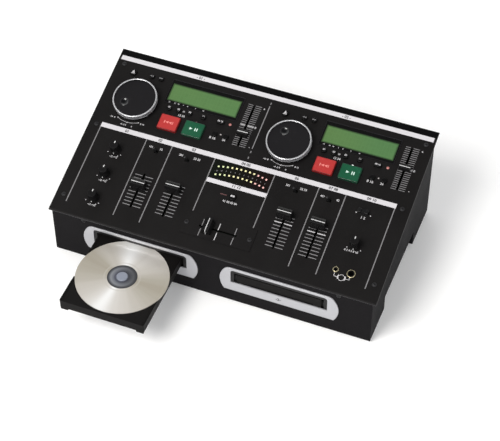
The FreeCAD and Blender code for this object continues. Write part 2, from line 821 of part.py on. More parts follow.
# --- displays and boards --------------------------------------------------
def make_window(place, width, depth, block_thickness):
    """A clear lens let into the panel with its display block behind it."""
    flange_low = under_panel - lens_flange_thickness
    lens = slab(width, depth, under_panel, 0.0, *place)
    flange = slab(width + 2 * lens_flange, depth + 2 * lens_flange, flange_low, under_panel, *place)
    back_low = flange_low - block_thickness
    back = slab(width - 2 * lens_frame, depth - 2 * lens_frame, back_low, flange_low, *place)
    return [on_panel(fuse([lens, flange])), on_panel(back)]


def switch_block(place):
    """Push switch on the board under a button, just clear of the pressed stem."""
    stem_low = under_panel - run_gap - button_flange - button_stem
    top = stem_low - button_travel - run_gap
    return slab(switch_block_size, switch_block_size, board_top, top, *place)


def fader_body(along, travel, place):
    length = travel + fader_blade_width + 2 * fader_body_overrun
    width = fader_body_width
    size = (width, length) if along == "v" else (length, width)
    body = slab(*size, board_top, under_panel, *place)
    floor = board_top + fader_body_floor
    return body.cut(fader_slot(along, travel, place, floor, 1.0, extra=fader_body_room))


def shaft_body(place, size):
    body = slab(size, size, board_top, under_panel, *place)
    return body.cut(post(control_shaft_radius + shaft_gap, board_top, 1.0, *place))


def toggle_block(place):
    body = slab(*toggle_body, board_top, under_panel, *place)
    room = 2 * toggle_tip_radius + 2 * run_gap
    return body.cut(slab(room + 2 * toggle_slot_room, room, board_top + toggle_body_floor, 1.0, *place))


def monitor_switch_block():
    u, v = monitor_switch_place
    place = (u + monitor_travel / 2, v)
    width = monitor_travel + monitor_stem[0] + 4 * run_gap + toggle_slot_room
    depth = monitor_stem[1] + toggle_slot_room
    body = slab(width + monitor_body_margin[0], depth + monitor_body_margin[1], board_top, under_panel,
                *place)
    return body.cut(slab(width, depth, board_top + toggle_body_floor, 1.0, *place))


def make_boards():
    half_board = half_body - flange_width - board_side_gap
    split = mixer_depth + board_split_offset
    spans = [(board_front_inset, split), (split + board_split, panel_depth - board_back_inset)]
    boards = [slab(2 * half_board, v1 - v0, board_bottom, board_top, 0, (v0 + v1) / 2) for v0, v1 in spans]
    window_low = under_panel - lens_flange_thickness - lcd_thickness
    parts_on = [slab(*window_rest, board_top, window_low, *meter_place), switch_block(relay_place),
                monitor_switch_block()]
    for places in decks.values():
        for name in round_buttons + ["eject_button", "range_button", "cue_button", "play_button"]:
            parts_on.append(switch_block(places[name]))
        parts_on.append(shaft_body(places["jog_wheel"], encoder_size))
        parts_on.append(fader_body("v", pitch_travel, places["pitch_fader"]))
        parts_on.append(slab(*window_rest, board_top, window_low, *places["display"]))
    for u in channel_fader_u:
        parts_on.append(fader_body("v", channel_travel, (u, channel_fader_v)))
    parts_on.append(fader_body("u", channel_travel, cross_place))
    for place in knob_places.values():
        parts_on.append(shaft_body(place, pot_size))
    for place in toggle_places:
        parts_on.append(toggle_block(place))
    side = half_board - standoff_side_inset
    rows = [v for v0, v1 in spans for v in (v0 + standoff_inset, v1 - standoff_inset)]
    standoffs = [post(standoff_radius, board_top, under_panel, u, v)
                 for u in (-side, -standoff_middle, standoff_middle, side) for v in rows]
    sockets = [post(phones_body + socket_room, board_bottom - 1, board_top + 1, *phones_place),
               post(small_body + socket_room, board_bottom - 1, board_top + 1, *small_phones_place)]
    boards[0] = cut(boards[0], sockets)
    return [on_panel(piece) for piece in boards + parts_on + standoffs]


# --- sockets, supply, feet and screws -------------------------------------
def panel_socket(place, bore, ring, body, depth):
    u, v = place
    barrel = post(body, -depth - socket_floor, 0, u, v)
    collar = soften(post(ring, 0, ring_rise, u, v), ring_rise, 0.4)
    return on_panel(fuse([barrel, collar]).cut(post(bore, -depth, ring_rise + 1, u, v)))


def phono_pair(x):
    """Two phono sockets on one base plate, standing out of the rear wall."""
    z = rear_socket_height
    wall = body_depth
    width, height, thick = phono_base
    base = block(x - width / 2, x + width / 2, wall, wall + thick, z - height / 2, z + height / 2)
    half_w, half_h = width / 2 - phono_lip, height / 2 - phono_lip
    body = block(x - half_w, x + half_w, wall - phono_body_depth, wall, z - half_h, z + half_h)
    tools = []
    sleeves = []
    for dz in (-phono_pitch / 2, phono_pitch / 2):
        sleeves.append(rod_y(phono_radius, wall + thick, wall + thick + phono_length, x, z + dz))
        tip = wall + thick + phono_length
        tools.append(rod_y(phono_bore, tip - phono_bore_depth, tip + 1, x, z + dz))
    return cut(fuse([base, body] + sleeves), tools)


def microphone_socket():
    z = rear_socket_height
    wall = body_depth
    face = wall + ring_rise
    barrel = rod_y(phones_body, face - phones_depth - socket_floor, face, microphone_x, z)
    collar = rod_y(phones_ring, wall, face, microphone_x, z)
    bore = rod_y(phones_bore, face - phones_depth, face + ring_rise, microphone_x, z)
    return fuse([barrel, collar]).cut(bore)


def framed_box(x, opening, frame, depth, frame_thickness):
    """A plate outside the rear wall with a box behind it that passes the cut-out."""
    z = rear_socket_height
    wall = body_depth
    plate = block(x - frame[0] / 2, x + frame[0] / 2, wall, wall + frame_thickness,
                  z - frame[1] / 2, z + frame[1] / 2)
    body = block(x - opening[0] / 2, x + opening[0] / 2, wall - depth, wall,
                 z - opening[1] / 2, z + opening[1] / 2)
    return fuse([plate, body])


def make_supply():
    z = rear_socket_height
    wall = body_depth
    inlet = framed_box(inlet_x, inlet_opening, inlet_frame, inlet_depth, inlet_frame_thickness)
    half_w = inlet_opening[0] / 2 - inlet_wall
    half_h = inlet_opening[1] / 2 - inlet_wall
    floor_y = wall - inlet_depth + inlet_floor
    cavity = block(inlet_x - half_w, inlet_x + half_w, floor_y, wall + inlet_frame_thickness + 1,
                   z - half_h, z + half_h)
    pin_w, pin_h, pin_l = inlet_pin
    pins = [block(inlet_x + dx - pin_w / 2, inlet_x + dx + pin_w / 2, floor_y - 1, floor_y + pin_l,
                  z + dz - pin_h / 2, z + dz + pin_h / 2)
            for dx, dz in ((-inlet_pin_pitch, -inlet_pin_drop), (inlet_pin_pitch, -inlet_pin_drop),
                           (0, inlet_earth_rise))]
    inlet = fuse([inlet.cut(cavity)] + pins)

    rocker_seat = framed_box(rocker_x, rocker_opening, rocker_frame, rocker_body_depth,
                             inlet_frame_thickness)
    cradle_width = rocker_opening[0] - 2 * inlet_wall
    cradle = Part.makeCylinder(rocker_radius + run_gap, cradle_width,
                               V(rocker_x - cradle_width / 2, rocker_axis_y(), z), V(1, 0, 0))
    rocker_seat = rocker_seat.cut(cradle)

    floor = foot_height + sheet
    y0 = tunnel_back + 3 * sheet
    y1 = body_depth - 3 * sheet
    middle = (y0 + y1) / 2
    under = floor + supply_board_lift
    bench = under + board_thickness
    half_length = supply_board_length / 2
    board = block(supply_centre - half_length, supply_centre + half_length, y0, y1, under, bench)
    leg_reach = half_length - supply_leg_inset
    legs = [post(supply_leg_radius, floor, under, supply_centre + side * leg_reach, y)
            for side in (-1, 1) for y in (y0 + supply_leg_inset, y1 - supply_leg_inset)]
    core_w, core_d, core_h = transformer_core
    core = slab(core_w, core_d, bench, bench + core_h, transformer_x, middle)
    coil_w, coil_d, coil_h = transformer_coil
    coil = slab(coil_w, coil_d, bench + core_h, bench + core_h + coil_h, transformer_x, middle)
    caps = [post(capacitor_radius, bench, bench + capacitor_height, x, middle) for x in capacitor_x]
    return [inlet, rocker_seat, board, core, coil] + legs + caps


def rocker_axis_y():
    return body_depth + inlet_frame_thickness - rocker_radius * rocker_axle_share


def make_rocker():
    """Rocker paddle: a slice of a drum about its own axle, with two flats."""
    z = rear_socket_height
    y = rocker_axis_y()
    width = rocker_opening[0] - 2 * inlet_wall - 2 * run_gap
    drum = Part.makeCylinder(rocker_radius, width, V(rocker_x - width / 2, y, z), V(1, 0, 0))
    reach = 2 * rocker_radius
    flats = []
    for tilt in (-rocker_tilt, rocker_tilt):
        flat = block(rocker_x - width, rocker_x + width, y + rocker_radius * rocker_flat_share, y + reach,
                     z - reach, z + reach)
        flat.rotate(V(rocker_x, y, z), V(1, 0, 0), tilt)
        flats.append(flat)
    both = flats[0].common(flats[1])
    paddle = drum.cut(both)
    paddle.rotate(V(rocker_x, y, z), V(1, 0, 0), rocker_tilt)
    return paddle


def foot_places():
    return [(side * (half_body - foot_inset_side), y) for side in (-1, 1)
            for y in (foot_inset_end, body_depth - foot_inset_end)]


def make_feet():
    return [taper(foot_radius - 0.8, foot_radius, 0, foot_height, x, y) for x, y in foot_places()]


def screw(length):
    head = Part.makeSphere(screw_head_radius * 1.3, V(0, 0, screw_head_height - screw_head_radius * 1.3))
    head = head.common(post(screw_head_radius, 0, screw_head_height))
    shank = post(screw_radius, -length, 0)
    long, wide, deep = screw_cross
    cross = [slab(long, wide, screw_head_height - deep, screw_head_height + 1),
             slab(wide, long, screw_head_height - deep, screw_head_height + 1)]
    return cut(fuse([head, shank]), cross)


def make_screws():
    screws = []
    for u, v in panel_screws:
        piece = screw(screw_length)
        piece.translate(V(u, v, 0))
        screws.append(on_panel(piece))
    for u, v in cross_screws:
        piece = screw(screw_length)
        piece.translate(V(u, v, cross_plate_thickness))
        screws.append(on_panel(piece))
    for x, z in front_screws:
        piece = screw(screw_length)
        piece.rotate(V(0, 0, 0), V(1, 0, 0), 90)
        piece.translate(V(x, 0, z))
        screws.append(piece)
    return screws


# --- build ----------------------------------------------------------------
save("base_chassis", make_chassis())
save("top_panel", make_panel())
save("slot_bezels", make_bezels())
save("loader_frames", make_loader(-slot_centre) + make_loader(slot_centre))
windows = [make_window(places["display"], lens_width, lens_depth, lcd_thickness) for places in decks.values()]
save("display_modules", windows[0] + windows[1])
save("level_meter", make_window(meter_place, meter_width, meter_depth, lcd_thickness))
save("control_boards", make_boards())
save("audio_sockets", [panel_socket(phones_place, phones_bore, phones_ring, phones_body, phones_depth),
                       panel_socket(small_phones_place, small_bore, small_ring, small_body, small_depth),
                       microphone_socket()] + [phono_pair(x) for x in phono_x])
save("mains_supply", make_supply())
save("rubber_feet", make_feet())
save("case_screws", make_screws())

tray_shift = {"left": 0.0, "right": tray_travel}
for side, x in (("left", -slot_centre), ("right", slot_centre)):
    save("tray_" + side, make_tray(x, tray_shift[side]))
    save("turntable_" + side, make_turntable(x, tray_shift[side]))
save("disc", make_disc(-slot_centre))

for side, places in decks.items():
    for name in round_buttons:
        save("%s_%s" % (name, side), round_button(places[name], small_button_radius))
    save("eject_button_" + side, round_button(places["eject_button"], eject_button_radius))
    save("range_button_" + side,
         square_button(places["range_button"], wide_button_length, wide_button_width, button_rise,
                       wide_button_width))
    for name in ("cue_button", "play_button"):
        save("%s_%s" % (name, side),
             square_button(places[name], play_button_width, play_button_depth, play_button_rise,
                           square_corner))
    save("jog_wheel_" + side, make_jog(places["jog_wheel"], dimple_angle[side]))
    save("pitch_fader_" + side, make_fader("v", places["pitch_fader"], pitch_cap, 0.0, pitch_rest[side]))

for number, u in enumerate(channel_fader_u):
    save("channel_fader_%d" % (number + 1),
         make_fader("v", (u, channel_fader_v), channel_cap, 0.0, channel_rest[number]))
save("crossfader", make_fader("u", cross_place, cross_cap, cross_plate_thickness, cross_rest))
for name, place in knob_places.items():
    save(name, make_knob(place))
for number, place in enumerate(toggle_places):
    save("channel_switch_%d" % (number + 1), make_toggle(place))
save("monitor_switch", make_monitor_switch())
save("relay_button", round_button(relay_place, relay_button_radius))
save("power_rocker", make_rocker())
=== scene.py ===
import math
import bmesh
import bpy
from mathutils import Matrix, Vector


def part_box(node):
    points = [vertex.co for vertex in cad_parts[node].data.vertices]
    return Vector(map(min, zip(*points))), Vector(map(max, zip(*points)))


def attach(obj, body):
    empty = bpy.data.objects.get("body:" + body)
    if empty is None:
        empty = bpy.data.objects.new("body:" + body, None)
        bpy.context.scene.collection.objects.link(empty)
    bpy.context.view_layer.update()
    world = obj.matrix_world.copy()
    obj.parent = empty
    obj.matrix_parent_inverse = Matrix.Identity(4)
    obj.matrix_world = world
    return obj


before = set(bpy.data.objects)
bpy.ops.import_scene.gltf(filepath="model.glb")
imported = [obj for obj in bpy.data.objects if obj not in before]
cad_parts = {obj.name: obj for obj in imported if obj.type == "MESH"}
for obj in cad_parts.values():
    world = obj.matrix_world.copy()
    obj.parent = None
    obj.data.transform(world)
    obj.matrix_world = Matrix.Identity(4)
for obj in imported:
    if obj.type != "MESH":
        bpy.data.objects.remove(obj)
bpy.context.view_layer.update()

mm = 0.001
print("console: frame loaded")

# The sloping panel. What is on it is drawn in millimetres, u across, v up the slope and n out of
# the panel, and panelMatrix then lays it down. wallMatrix does the same for the upright walls.
panel = {"slope": 16.365, "frontY": -68.2514, "frontZ": 78.0}
panelMatrix = (Matrix.Translation((0, panel["frontY"] * mm, panel["frontZ"] * mm))
               @ Matrix.Rotation(math.radians(panel["slope"]), 4, "X")
               @ Matrix.Scale(mm, 4))
deckCentre = {"left": -108.5, "right": 108.5}
slotCentre = {"left": -95.2, "right": 95.2}
rearWallY = 175.5
printLow, printHigh = -0.02, 0.05  # a print's foot sinks into the paint by a hair


def wallMatrix(y, rear=False):
    turn = Matrix.Rotation(math.pi, 4, "Z") if rear else Matrix.Identity(4)
    return (Matrix.Translation((0, y * mm, 0)) @ turn @ Matrix.Rotation(math.pi / 2, 4, "X")
            @ Matrix.Scale(mm, 4))


def boxOf(spots):
    return [[pick(spot[i] for spot in spots) for i in range(3)] for pick in (min, max)]


def panelBox(node):
    back = panelMatrix.inverted()
    return boxOf([back @ vertex.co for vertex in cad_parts[node].data.vertices])


def middleOf(low, high):
    return (low[0] + high[0]) / 2, (low[1] + high[1]) / 2


def deckPlace(side, place):
    return deckCentre[side] + place[0], place[1]


def around(place, radius, degrees):
    angle = math.radians(degrees)
    return place[0] + radius * math.cos(angle), place[1] + radius * math.sin(angle)


def addPrism(mesh, outline, low, high):
    bottom = [mesh.verts.new((u, v, low)) for u, v in outline]
    top = [mesh.verts.new((u, v, high)) for u, v in outline]
    mesh.faces.new(bottom[::-1])
    mesh.faces.new(top)
    for i in range(len(outline)):
        j = (i + 1) % len(outline)
        mesh.faces.new((bottom[i], bottom[j], top[j], top[i]))


def plateOutline(width, height, corner=0.0):
    halfU, halfV = width / 2 - corner, height / 2 - corner
    outline = []
    for quarter, (u, v) in enumerate(((halfU, halfV), (-halfU, halfV), (-halfU, -halfV), (halfU, -halfV))):
        for step in range(5 if corner else 1):
            angle = math.radians(90 * quarter + 22.5 * step)
            outline.append((u + corner * math.cos(angle), v + corner * math.sin(angle)))
    return outline


def addPlate(mesh, place, size, low, high, turn=0.0, corner=0.0):
    addOutline(mesh, plateOutline(*size, corner), place, low, high, turn)


def addOutline(mesh, outline, place, low, high, turn=0.0):
    cosine, sine = math.cos(math.radians(turn)), math.sin(math.radians(turn))
    turned = [(cosine * u - sine * v, sine * u + cosine * v) for u, v in outline]
    addPrism(mesh, [(place[0] + u, place[1] + v) for u, v in turned], low, high)


def addRing(mesh, place, profile, sides=96):
    loops = []
    for i in range(sides):
        loops.append([mesh.verts.new((*around(place, r, 360 * i / sides), n)) for r, n in profile])
    for i in range(sides):
        here, there = loops[i], loops[(i + 1) % sides]
        for j in range(len(profile)):
            k = (j + 1) % len(profile)
            mesh.faces.new((here[j], there[j], there[k], here[k])).smooth = True


def addCircle(mesh, place, radius, n, sides):
    return [mesh.verts.new((*around(place, radius, 360 * i / sides), n)) for i in range(sides)]


def addSheet(mesh, levels, pole):
    sides = len(levels[0])  # the levels run towards the pole
    for i in range(sides):
        j = (i + 1) % sides
        for lower, upper in zip(levels, levels[1:]):
            mesh.faces.new((lower[i], lower[j], upper[j], upper[i])).smooth = True
        mesh.faces.new((levels[-1][i], levels[-1][j], pole)).smooth = True


def addDome(mesh, place, radius, low, rise, sides=20, rings=4):
    levels = []
    for ring in range(rings):
        angle = math.radians(90 * ring / rings)
        levels.append(addCircle(mesh, place, radius * math.cos(angle), low + rise * math.sin(angle), sides))
    mesh.faces.new(levels[0][::-1])
    addSheet(mesh, levels, mesh.verts.new((*place, low + rise)))


def addTriangle(mesh, place, size, turn, low, high):
    half = size / 2
    addOutline(mesh, [(-half, -half), (half, 0), (-half, half)], place, low, high, turn)


def linked(name, data):
    thing = bpy.data.objects.new(name, data)
    bpy.context.scene.collection.objects.link(thing)
    return thing


# Digits come from Blender's own font, a little thickened and scaled to a height of one.
lettering = {"thicken": 0.032, "depth": 0.5, "curveSteps": 3, "digitTall": 0.70, "merge": 0.0001}
digitMeshes = {}


def digitMesh(text):
    if text not in digitMeshes:
        curve = bpy.data.curves.new("digits", "FONT")
        curve.body = text
        curve.extrude = lettering["depth"]
        curve.offset = lettering["thicken"]
        curve.resolution_u = lettering["curveSteps"]
        holder = linked("digits", curve)
        depsgraph = bpy.context.evaluated_depsgraph_get()
        data = bpy.data.meshes.new_from_object(holder.evaluated_get(depsgraph))
        bpy.data.objects.remove(holder)
        u, v = middleOf(*boxOf([vertex.co for vertex in data.vertices]))
        grow = 1 / lettering["digitTall"]
        data.transform(Matrix.Diagonal((grow, grow, 1, 1)) @ Matrix.Translation((-u, -v, 0)))
        joined = bmesh.new()
        joined.from_mesh(data)
        bmesh.ops.remove_doubles(joined, verts=joined.verts, dist=lettering["merge"])
        joined.to_mesh(data)
        joined.free()
        digitMeshes[text] = data
    return digitMeshes[text]


def addDigits(mesh, text, place, height, low, high):
    data = digitMesh(text).copy()
    data.transform(Matrix.Translation((*place, (low + high) / 2))
                   @ Matrix.Diagonal((height, height, high - low, 1)))
    mesh.from_mesh(data)
    bpy.data.meshes.remove(data)


# An arrow has its size and turn, a plate its size and corner, and any other word is drawn as digits.
def addSigns(mesh, signs, place, low, high):
    for kind, shift, size, *more in signs:
        spot = (place[0] + shift[0], place[1] + shift[1])
        if kind == "arrow":
            addTriangle(mesh, spot, size, *more, low, high)
        elif kind == "plate":
            addPlate(mesh, spot, size, low, high, 0.0, *more)
        else:
            addDigits(mesh, kind, spot, size, low, high)


def placePiece(name, data, material, body="console", slot="panel_paint", matrix=panelMatrix):
    data.transform(matrix)
    data.materials.clear()
    data.materials.append(materials[material])
    piece = linked(name, data)
    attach(piece, body)


def finishPiece(name, mesh, material, body="console", slot="panel_paint", matrix=panelMatrix):
    data = bpy.data.meshes.new(name)
    bmesh.ops.recalc_face_normals(mesh, faces=mesh.faces)
    mesh.to_mesh(data)
    mesh.free()
    placePiece(name, data, material, body, slot, matrix)


def joinData(name, meshes):
    joined = bmesh.new()
    for data in meshes:
        joined.from_mesh(data)
    result = bpy.data.meshes.new(name)
    joined.to_mesh(result)
    joined.free()
    return result


def plug(tree, socket, value):
    if isinstance(value, bpy.types.NodeSocket):
        tree.links.new(value, socket)
    else:
        socket.default_value = (*value, 1) if socket.type == "RGBA" else value


def plugAll(tree, node, values):
    for label, value in values.items():
        plug(tree, node.inputs[label], value)


def addNode(tree, kind, values=None, **settings):
    node = tree.nodes.new(kind)
    for setting, value in settings.items():
        setattr(node, setting, value)
    plugAll(tree, node, values or {})
    return node


def newGroup(name, kind, inputs, outputs):
    group = bpy.data.node_groups.new(name, kind + "NodeTree")
    for way, sockets in (("INPUT", inputs), ("OUTPUT", outputs)):
        for label, socketKind in sockets.items():
            group.interface.new_socket(label, in_out=way, socket_type="NodeSocket" + socketKind)
    return group, addNode(group, "NodeGroupInput").outputs, addNode(group, "NodeGroupOutput").inputs


def newMarkTree(name, inputs):
    shape = {"Geometry": "Geometry"}
    tree, given, result = newGroup(name, "Geometry", {**shape, **inputs, "Material": "Material"}, shape)
    tree.is_modifier = True
    return tree, given, result


def endTree(tree, geometry, given, result):
    realize = addNode(tree, "GeometryNodeRealizeInstances", {0: geometry})
    dressed = addNode(tree, "GeometryNodeSetMaterial",
                      {0: realize.outputs[0], "Material": given["Material"]})
    plug(tree, result[0], dressed.outputs[0])
    return tree


def runTree(tree, values):
    holder = linked(tree.name, bpy.data.meshes.new(tree.name))
    modifier = holder.modifiers.new("nodes", "NODES")
    modifier.node_group = tree
    for item in tree.interface.items_tree:
        if item.item_type == "SOCKET" and item.in_out == "INPUT" and item.name in values:
            modifier[item.identifier] = values[item.name]
    evaluated = holder.evaluated_get(bpy.context.evaluated_depsgraph_get())
    data = bpy.data.meshes.new_from_object(evaluated)
    holder.modifiers.clear()
    bpy.data.objects.remove(holder)
    return data


# Blocks in a straight row, as the ticks beside the faders are.
def buildRowTree():
    tree, given, result = newMarkTree("markRow", {"Count": "Int", "Pitch": "Vector", "Size": "Vector",
                                                  "First": "Vector"})
    line = addNode(tree, "GeometryNodeMeshLine", {"Count": given["Count"], "Offset": given["Pitch"],
                                                  "Start Location": given["First"]})
    cube = addNode(tree, "GeometryNodeMeshCube", {"Size": given["Size"]})
    spread = addNode(tree, "GeometryNodeInstanceOnPoints",
                     {"Points": line.outputs[0], "Instance": cube.outputs[0]})
    return endTree(tree, spread.outputs[0], given, result)


# Blocks round an arc, each facing outwards and leaning with the wall that it stands on.
def buildRingTree():
    tree, given, result = newMarkTree("markRing", {"Count": "Int", "Radius": "Float", "Start Angle": "Float",
                                                   "Sweep": "Float", "Lean": "Vector", "Size": "Vector",
                                                   "Centre": "Vector"})
    arc = addNode(tree, "GeometryNodeCurveArc", {"Resolution": given["Count"], "Radius": given["Radius"],
                                                 "Start Angle": given["Start Angle"],
                                                 "Sweep Angle": given["Sweep"]})
    points = addNode(tree, "GeometryNodeCurveToPoints", {"Curve": arc.outputs[0]}, mode="EVALUATED")
    cube = addNode(tree, "GeometryNodeMeshCube", {"Size": given["Size"]})
    position = addNode(tree, "GeometryNodeInputPosition").outputs[0]
    outwards = addNode(tree, "FunctionNodeAlignRotationToVector", {"Vector": position},
                       axis="X", pivot_axis="Z")
    leaning = addNode(tree, "ShaderNodeVectorMath", {0: position, 1: given["Lean"]})
    tilted = addNode(tree, "FunctionNodeAlignRotationToVector",
                     {"Rotation": outwards.outputs[0], "Vector": leaning.outputs[0]},
                     axis="X", pivot_axis="Y")
    spread = addNode(tree, "GeometryNodeInstanceOnPoints",
                     {"Points": points.outputs["Points"], "Instance": cube.outputs[0],
                      "Rotation": tilted.outputs[0]})
    move = addNode(tree, "GeometryNodeTransform",
                   {"Geometry": spread.outputs[0], "Translation": given["Centre"]})
    return endTree(tree, move.outputs[0], given, result)


rowTree = buildRowTree()
ringTree = buildRingTree()


def markRow(count, first, pitch, size, material):
    return runTree(rowTree, {"Count": count, "First": first, "Pitch": pitch, "Size": size,
                             "Material": materials[material]})


def markRing(count, centre, radius, startAngle, sweep, size, material, lean=0.0):
    return runTree(ringTree, {"Count": count, "Centre": centre, "Radius": radius, "Lean": (0, 0, lean),
                              "Start Angle": math.radians(startAngle), "Sweep": math.radians(sweep),
                              "Size": size, "Material": materials[material]})


def fullRing(count, centre, radius, size, material, lean=0.0):
    return markRing(count, centre, radius, 0, 360 * (1 - 1 / count), size, material, lean)


print("console: tools ready")


def mathNode(tree, operation, *values, clamp=False):
    return addNode(tree, "ShaderNodeMath", dict(enumerate(values)), operation=operation,
                   use_clamp=clamp).outputs[0]


def vectorNode(tree, operation, *values):
    return addNode(tree, "ShaderNodeVectorMath", dict(enumerate(values)), operation=operation).outputs


def mixColor(tree, factor, a, b, blend="MIX"):
    return addNode(tree, "ShaderNodeMix", {0: factor, 6: a, 7: b}, data_type="RGBA",
                   blend_type=blend).outputs[2]


def noiseNode(tree, vector, scale, detail=2.0):
    return addNode(tree, "ShaderNodeTexNoise",
                   {"Vector": vector, "Scale": scale, "Detail": detail}).outputs["Fac"]


def splitNode(tree, vector):
    return addNode(tree, "ShaderNodeSeparateXYZ", {0: vector}).outputs


def colorRamp(tree, factor, stops, stepped=False):
    ramp = addNode(tree, "ShaderNodeValToRGB", {"Fac": factor})
    ramp.color_ramp.interpolation = "CONSTANT" if stepped else "LINEAR"
    elements = ramp.color_ramp.elements
    for element, (position, color) in zip(elements, stops):
        element.position = position
        element.color = (*color, 1)
    for position, color in stops[2:]:
        elements.new(position).color = (*color, 1)
    return ramp.outputs["Color"]


# Moulded or painted skin: fine grain, larger smudges, and scuffs that show a worn colour.
skin = {"grainDetail": 3, "smudge": (22, 4), "smudgeShare": 0.5, "scuff": (160, 6), "scuffGain": (4.0, -2.3)}


def buildSkinGroup():
    group, given, result = newGroup(
        "mouldedSkin", "Shader",
        {"Vector": "Vector", "Color": "Color", "Worn Color": "Color", "Wear": "Float",
         "Grain Scale": "Float", "Roughness": "Float", "Roughness Spread": "Float"},
        {"Color": "Color", "Roughness": "Float", "Height": "Float"})
    grain = noiseNode(group, given["Vector"], given["Grain Scale"], skin["grainDetail"])
    smudge = noiseNode(group, given["Vector"], *skin["smudge"])
    scuff = noiseNode(group, given["Vector"], *skin["scuff"])
    scuffMask = mathNode(group, "MULTIPLY_ADD", scuff, *skin["scuffGain"], clamp=True)
    amount = mathNode(group, "MULTIPLY", scuffMask, given["Wear"])
    patches = mathNode(group, "MULTIPLY", smudge, given["Wear"])
    total = mathNode(group, "MULTIPLY_ADD", patches, skin["smudgeShare"], amount, clamp=True)
    plug(group, result["Color"], mixColor(group, total, given["Color"], given["Worn Color"]))
    shift = mathNode(group, "SUBTRACT", mathNode(group, "ADD", smudge, grain), 1.0)
    plug(group, result["Roughness"], mathNode(group, "MULTIPLY_ADD", shift, given["Roughness Spread"],
                                              given["Roughness"], clamp=True))
    plug(group, result["Height"], grain)
    return group


# How far a spot is from an axis, and whether it lies between two radii round it.
def buildZoneGroup():
    group, given, result = newGroup(
        "ringZone", "Shader", {"Vector": "Vector", "Inner": "Float", "Outer": "Float", "Edge": "Float"},
        {"Mask": "Float", "Radius": "Float"})
    split = splitNode(group, given["Vector"])
    across = mathNode(group, "MULTIPLY", split[0], split[0])
    radius = mathNode(group, "SQRT", mathNode(group, "MULTIPLY_ADD", split[1], split[1], across))
    rise = mathNode(group, "DIVIDE", mathNode(group, "SUBTRACT", radius, given["Inner"]), given["Edge"],
                    clamp=True)
    fall = mathNode(group, "DIVIDE", mathNode(group, "SUBTRACT", given["Outer"], radius), given["Edge"],
                    clamp=True)
    plug(group, result["Mask"], mathNode(group, "MULTIPLY", rise, fall))
    plug(group, result["Radius"], radius)
    return group


# A soft-edged rectangle round its centre, and a rim that fades inwards from its edge.
def buildPaneGroup():
    group, given, result = newGroup(
        "litPane", "Shader", {"Vector": "Vector", "Centre": "Vector", "Half Width": "Float",
                              "Half Height": "Float", "Edge": "Float", "Rim Fade": "Float"},
        {"Mask": "Float", "Rim": "Float"})
    split = splitNode(group, vectorNode(group, "SUBTRACT", given["Vector"], given["Centre"])[0])
    insideU = mathNode(group, "SUBTRACT", given["Half Width"], mathNode(group, "ABSOLUTE", split[0]))
    insideV = mathNode(group, "SUBTRACT", given["Half Height"], mathNode(group, "ABSOLUTE", split[1]))
    depth = mathNode(group, "MINIMUM", insideU, insideV)
    mask = mathNode(group, "DIVIDE", depth, given["Edge"], clamp=True)
    fade = mathNode(group, "MULTIPLY_ADD", depth, given["Rim Fade"], 1.0, clamp=True)
    plug(group, result["Mask"], mask)
    plug(group, result["Rim"], mathNode(group, "MULTIPLY", mask, fade))
    return group


skinGroup = buildSkinGroup()
zoneGroup = buildZoneGroup()
paneGroup = buildPaneGroup()


def zoneNode(tree, vector, inner, outer, edge):
    return addNode(tree, "ShaderNodeGroup", {"Vector": vector, "Inner": inner * mm, "Outer": outer * mm,
                                             "Edge": edge * mm}, node_tree=zoneGroup).outputs


# Object coordinates moved to a piece's own centre, and then turned level, in metres.
def shifted(tree, vector, place):
    return addNode(tree, "ShaderNodeMapping", {"Vector": vector, "Location": [-c for c in place]}).outputs[0]


def flatten(tree, vector, place, slope=0.0):
    turn = (math.radians(-slope), 0, 0)
    return addNode(tree, "ShaderNodeMapping",
                   {"Vector": shifted(tree, vector, place), "Rotation": turn}).outputs[0]


def newMaterial(name):
    material = bpy.data.materials.new(name)
    material.use_nodes = True
    tree = material.node_tree
    coords = addNode(tree, "ShaderNodeTexCoord")
    return material, tree, tree.nodes["Principled BSDF"], coords.outputs["Object"]


def addSurface(tree, shader, vector, look):
    surface = addNode(tree, "ShaderNodeGroup",
                      {"Vector": vector, "Color": look["color"], "Roughness": look["roughness"],
                       "Worn Color": look.get("worn", look["color"]), "Wear": look.get("wear", 0.2),
                       "Grain Scale": look.get("grain", 2500), "Roughness Spread": look.get("spread", 0.15)},
                      node_tree=skinGroup).outputs
    bump = addNode(tree, "ShaderNodeBump", {"Strength": look.get("bump", 0.15), "Height": surface["Height"],
                                            "Distance": look.get("depth", 0.0001)})
    plugAll(tree, shader, {"Normal": bump.outputs[0], "Roughness": surface["Roughness"],
                           "Base Color": surface["Color"], "Metallic": look.get("metallic", 0.0),
                           "Specular IOR Level": look.get("specular", 0.5),
                           "Coat Weight": look.get("coat", 0.0)})
    if "glow" in look:
        plugAll(tree, shader, {"Emission Color": look["glow"], "Emission Strength": look["strength"]})
    return surface["Color"]


def surfaceMaterial(name, look):
    material, tree, shader, vector = newMaterial(name)
    addSurface(tree, shader, vector, look)
    return material


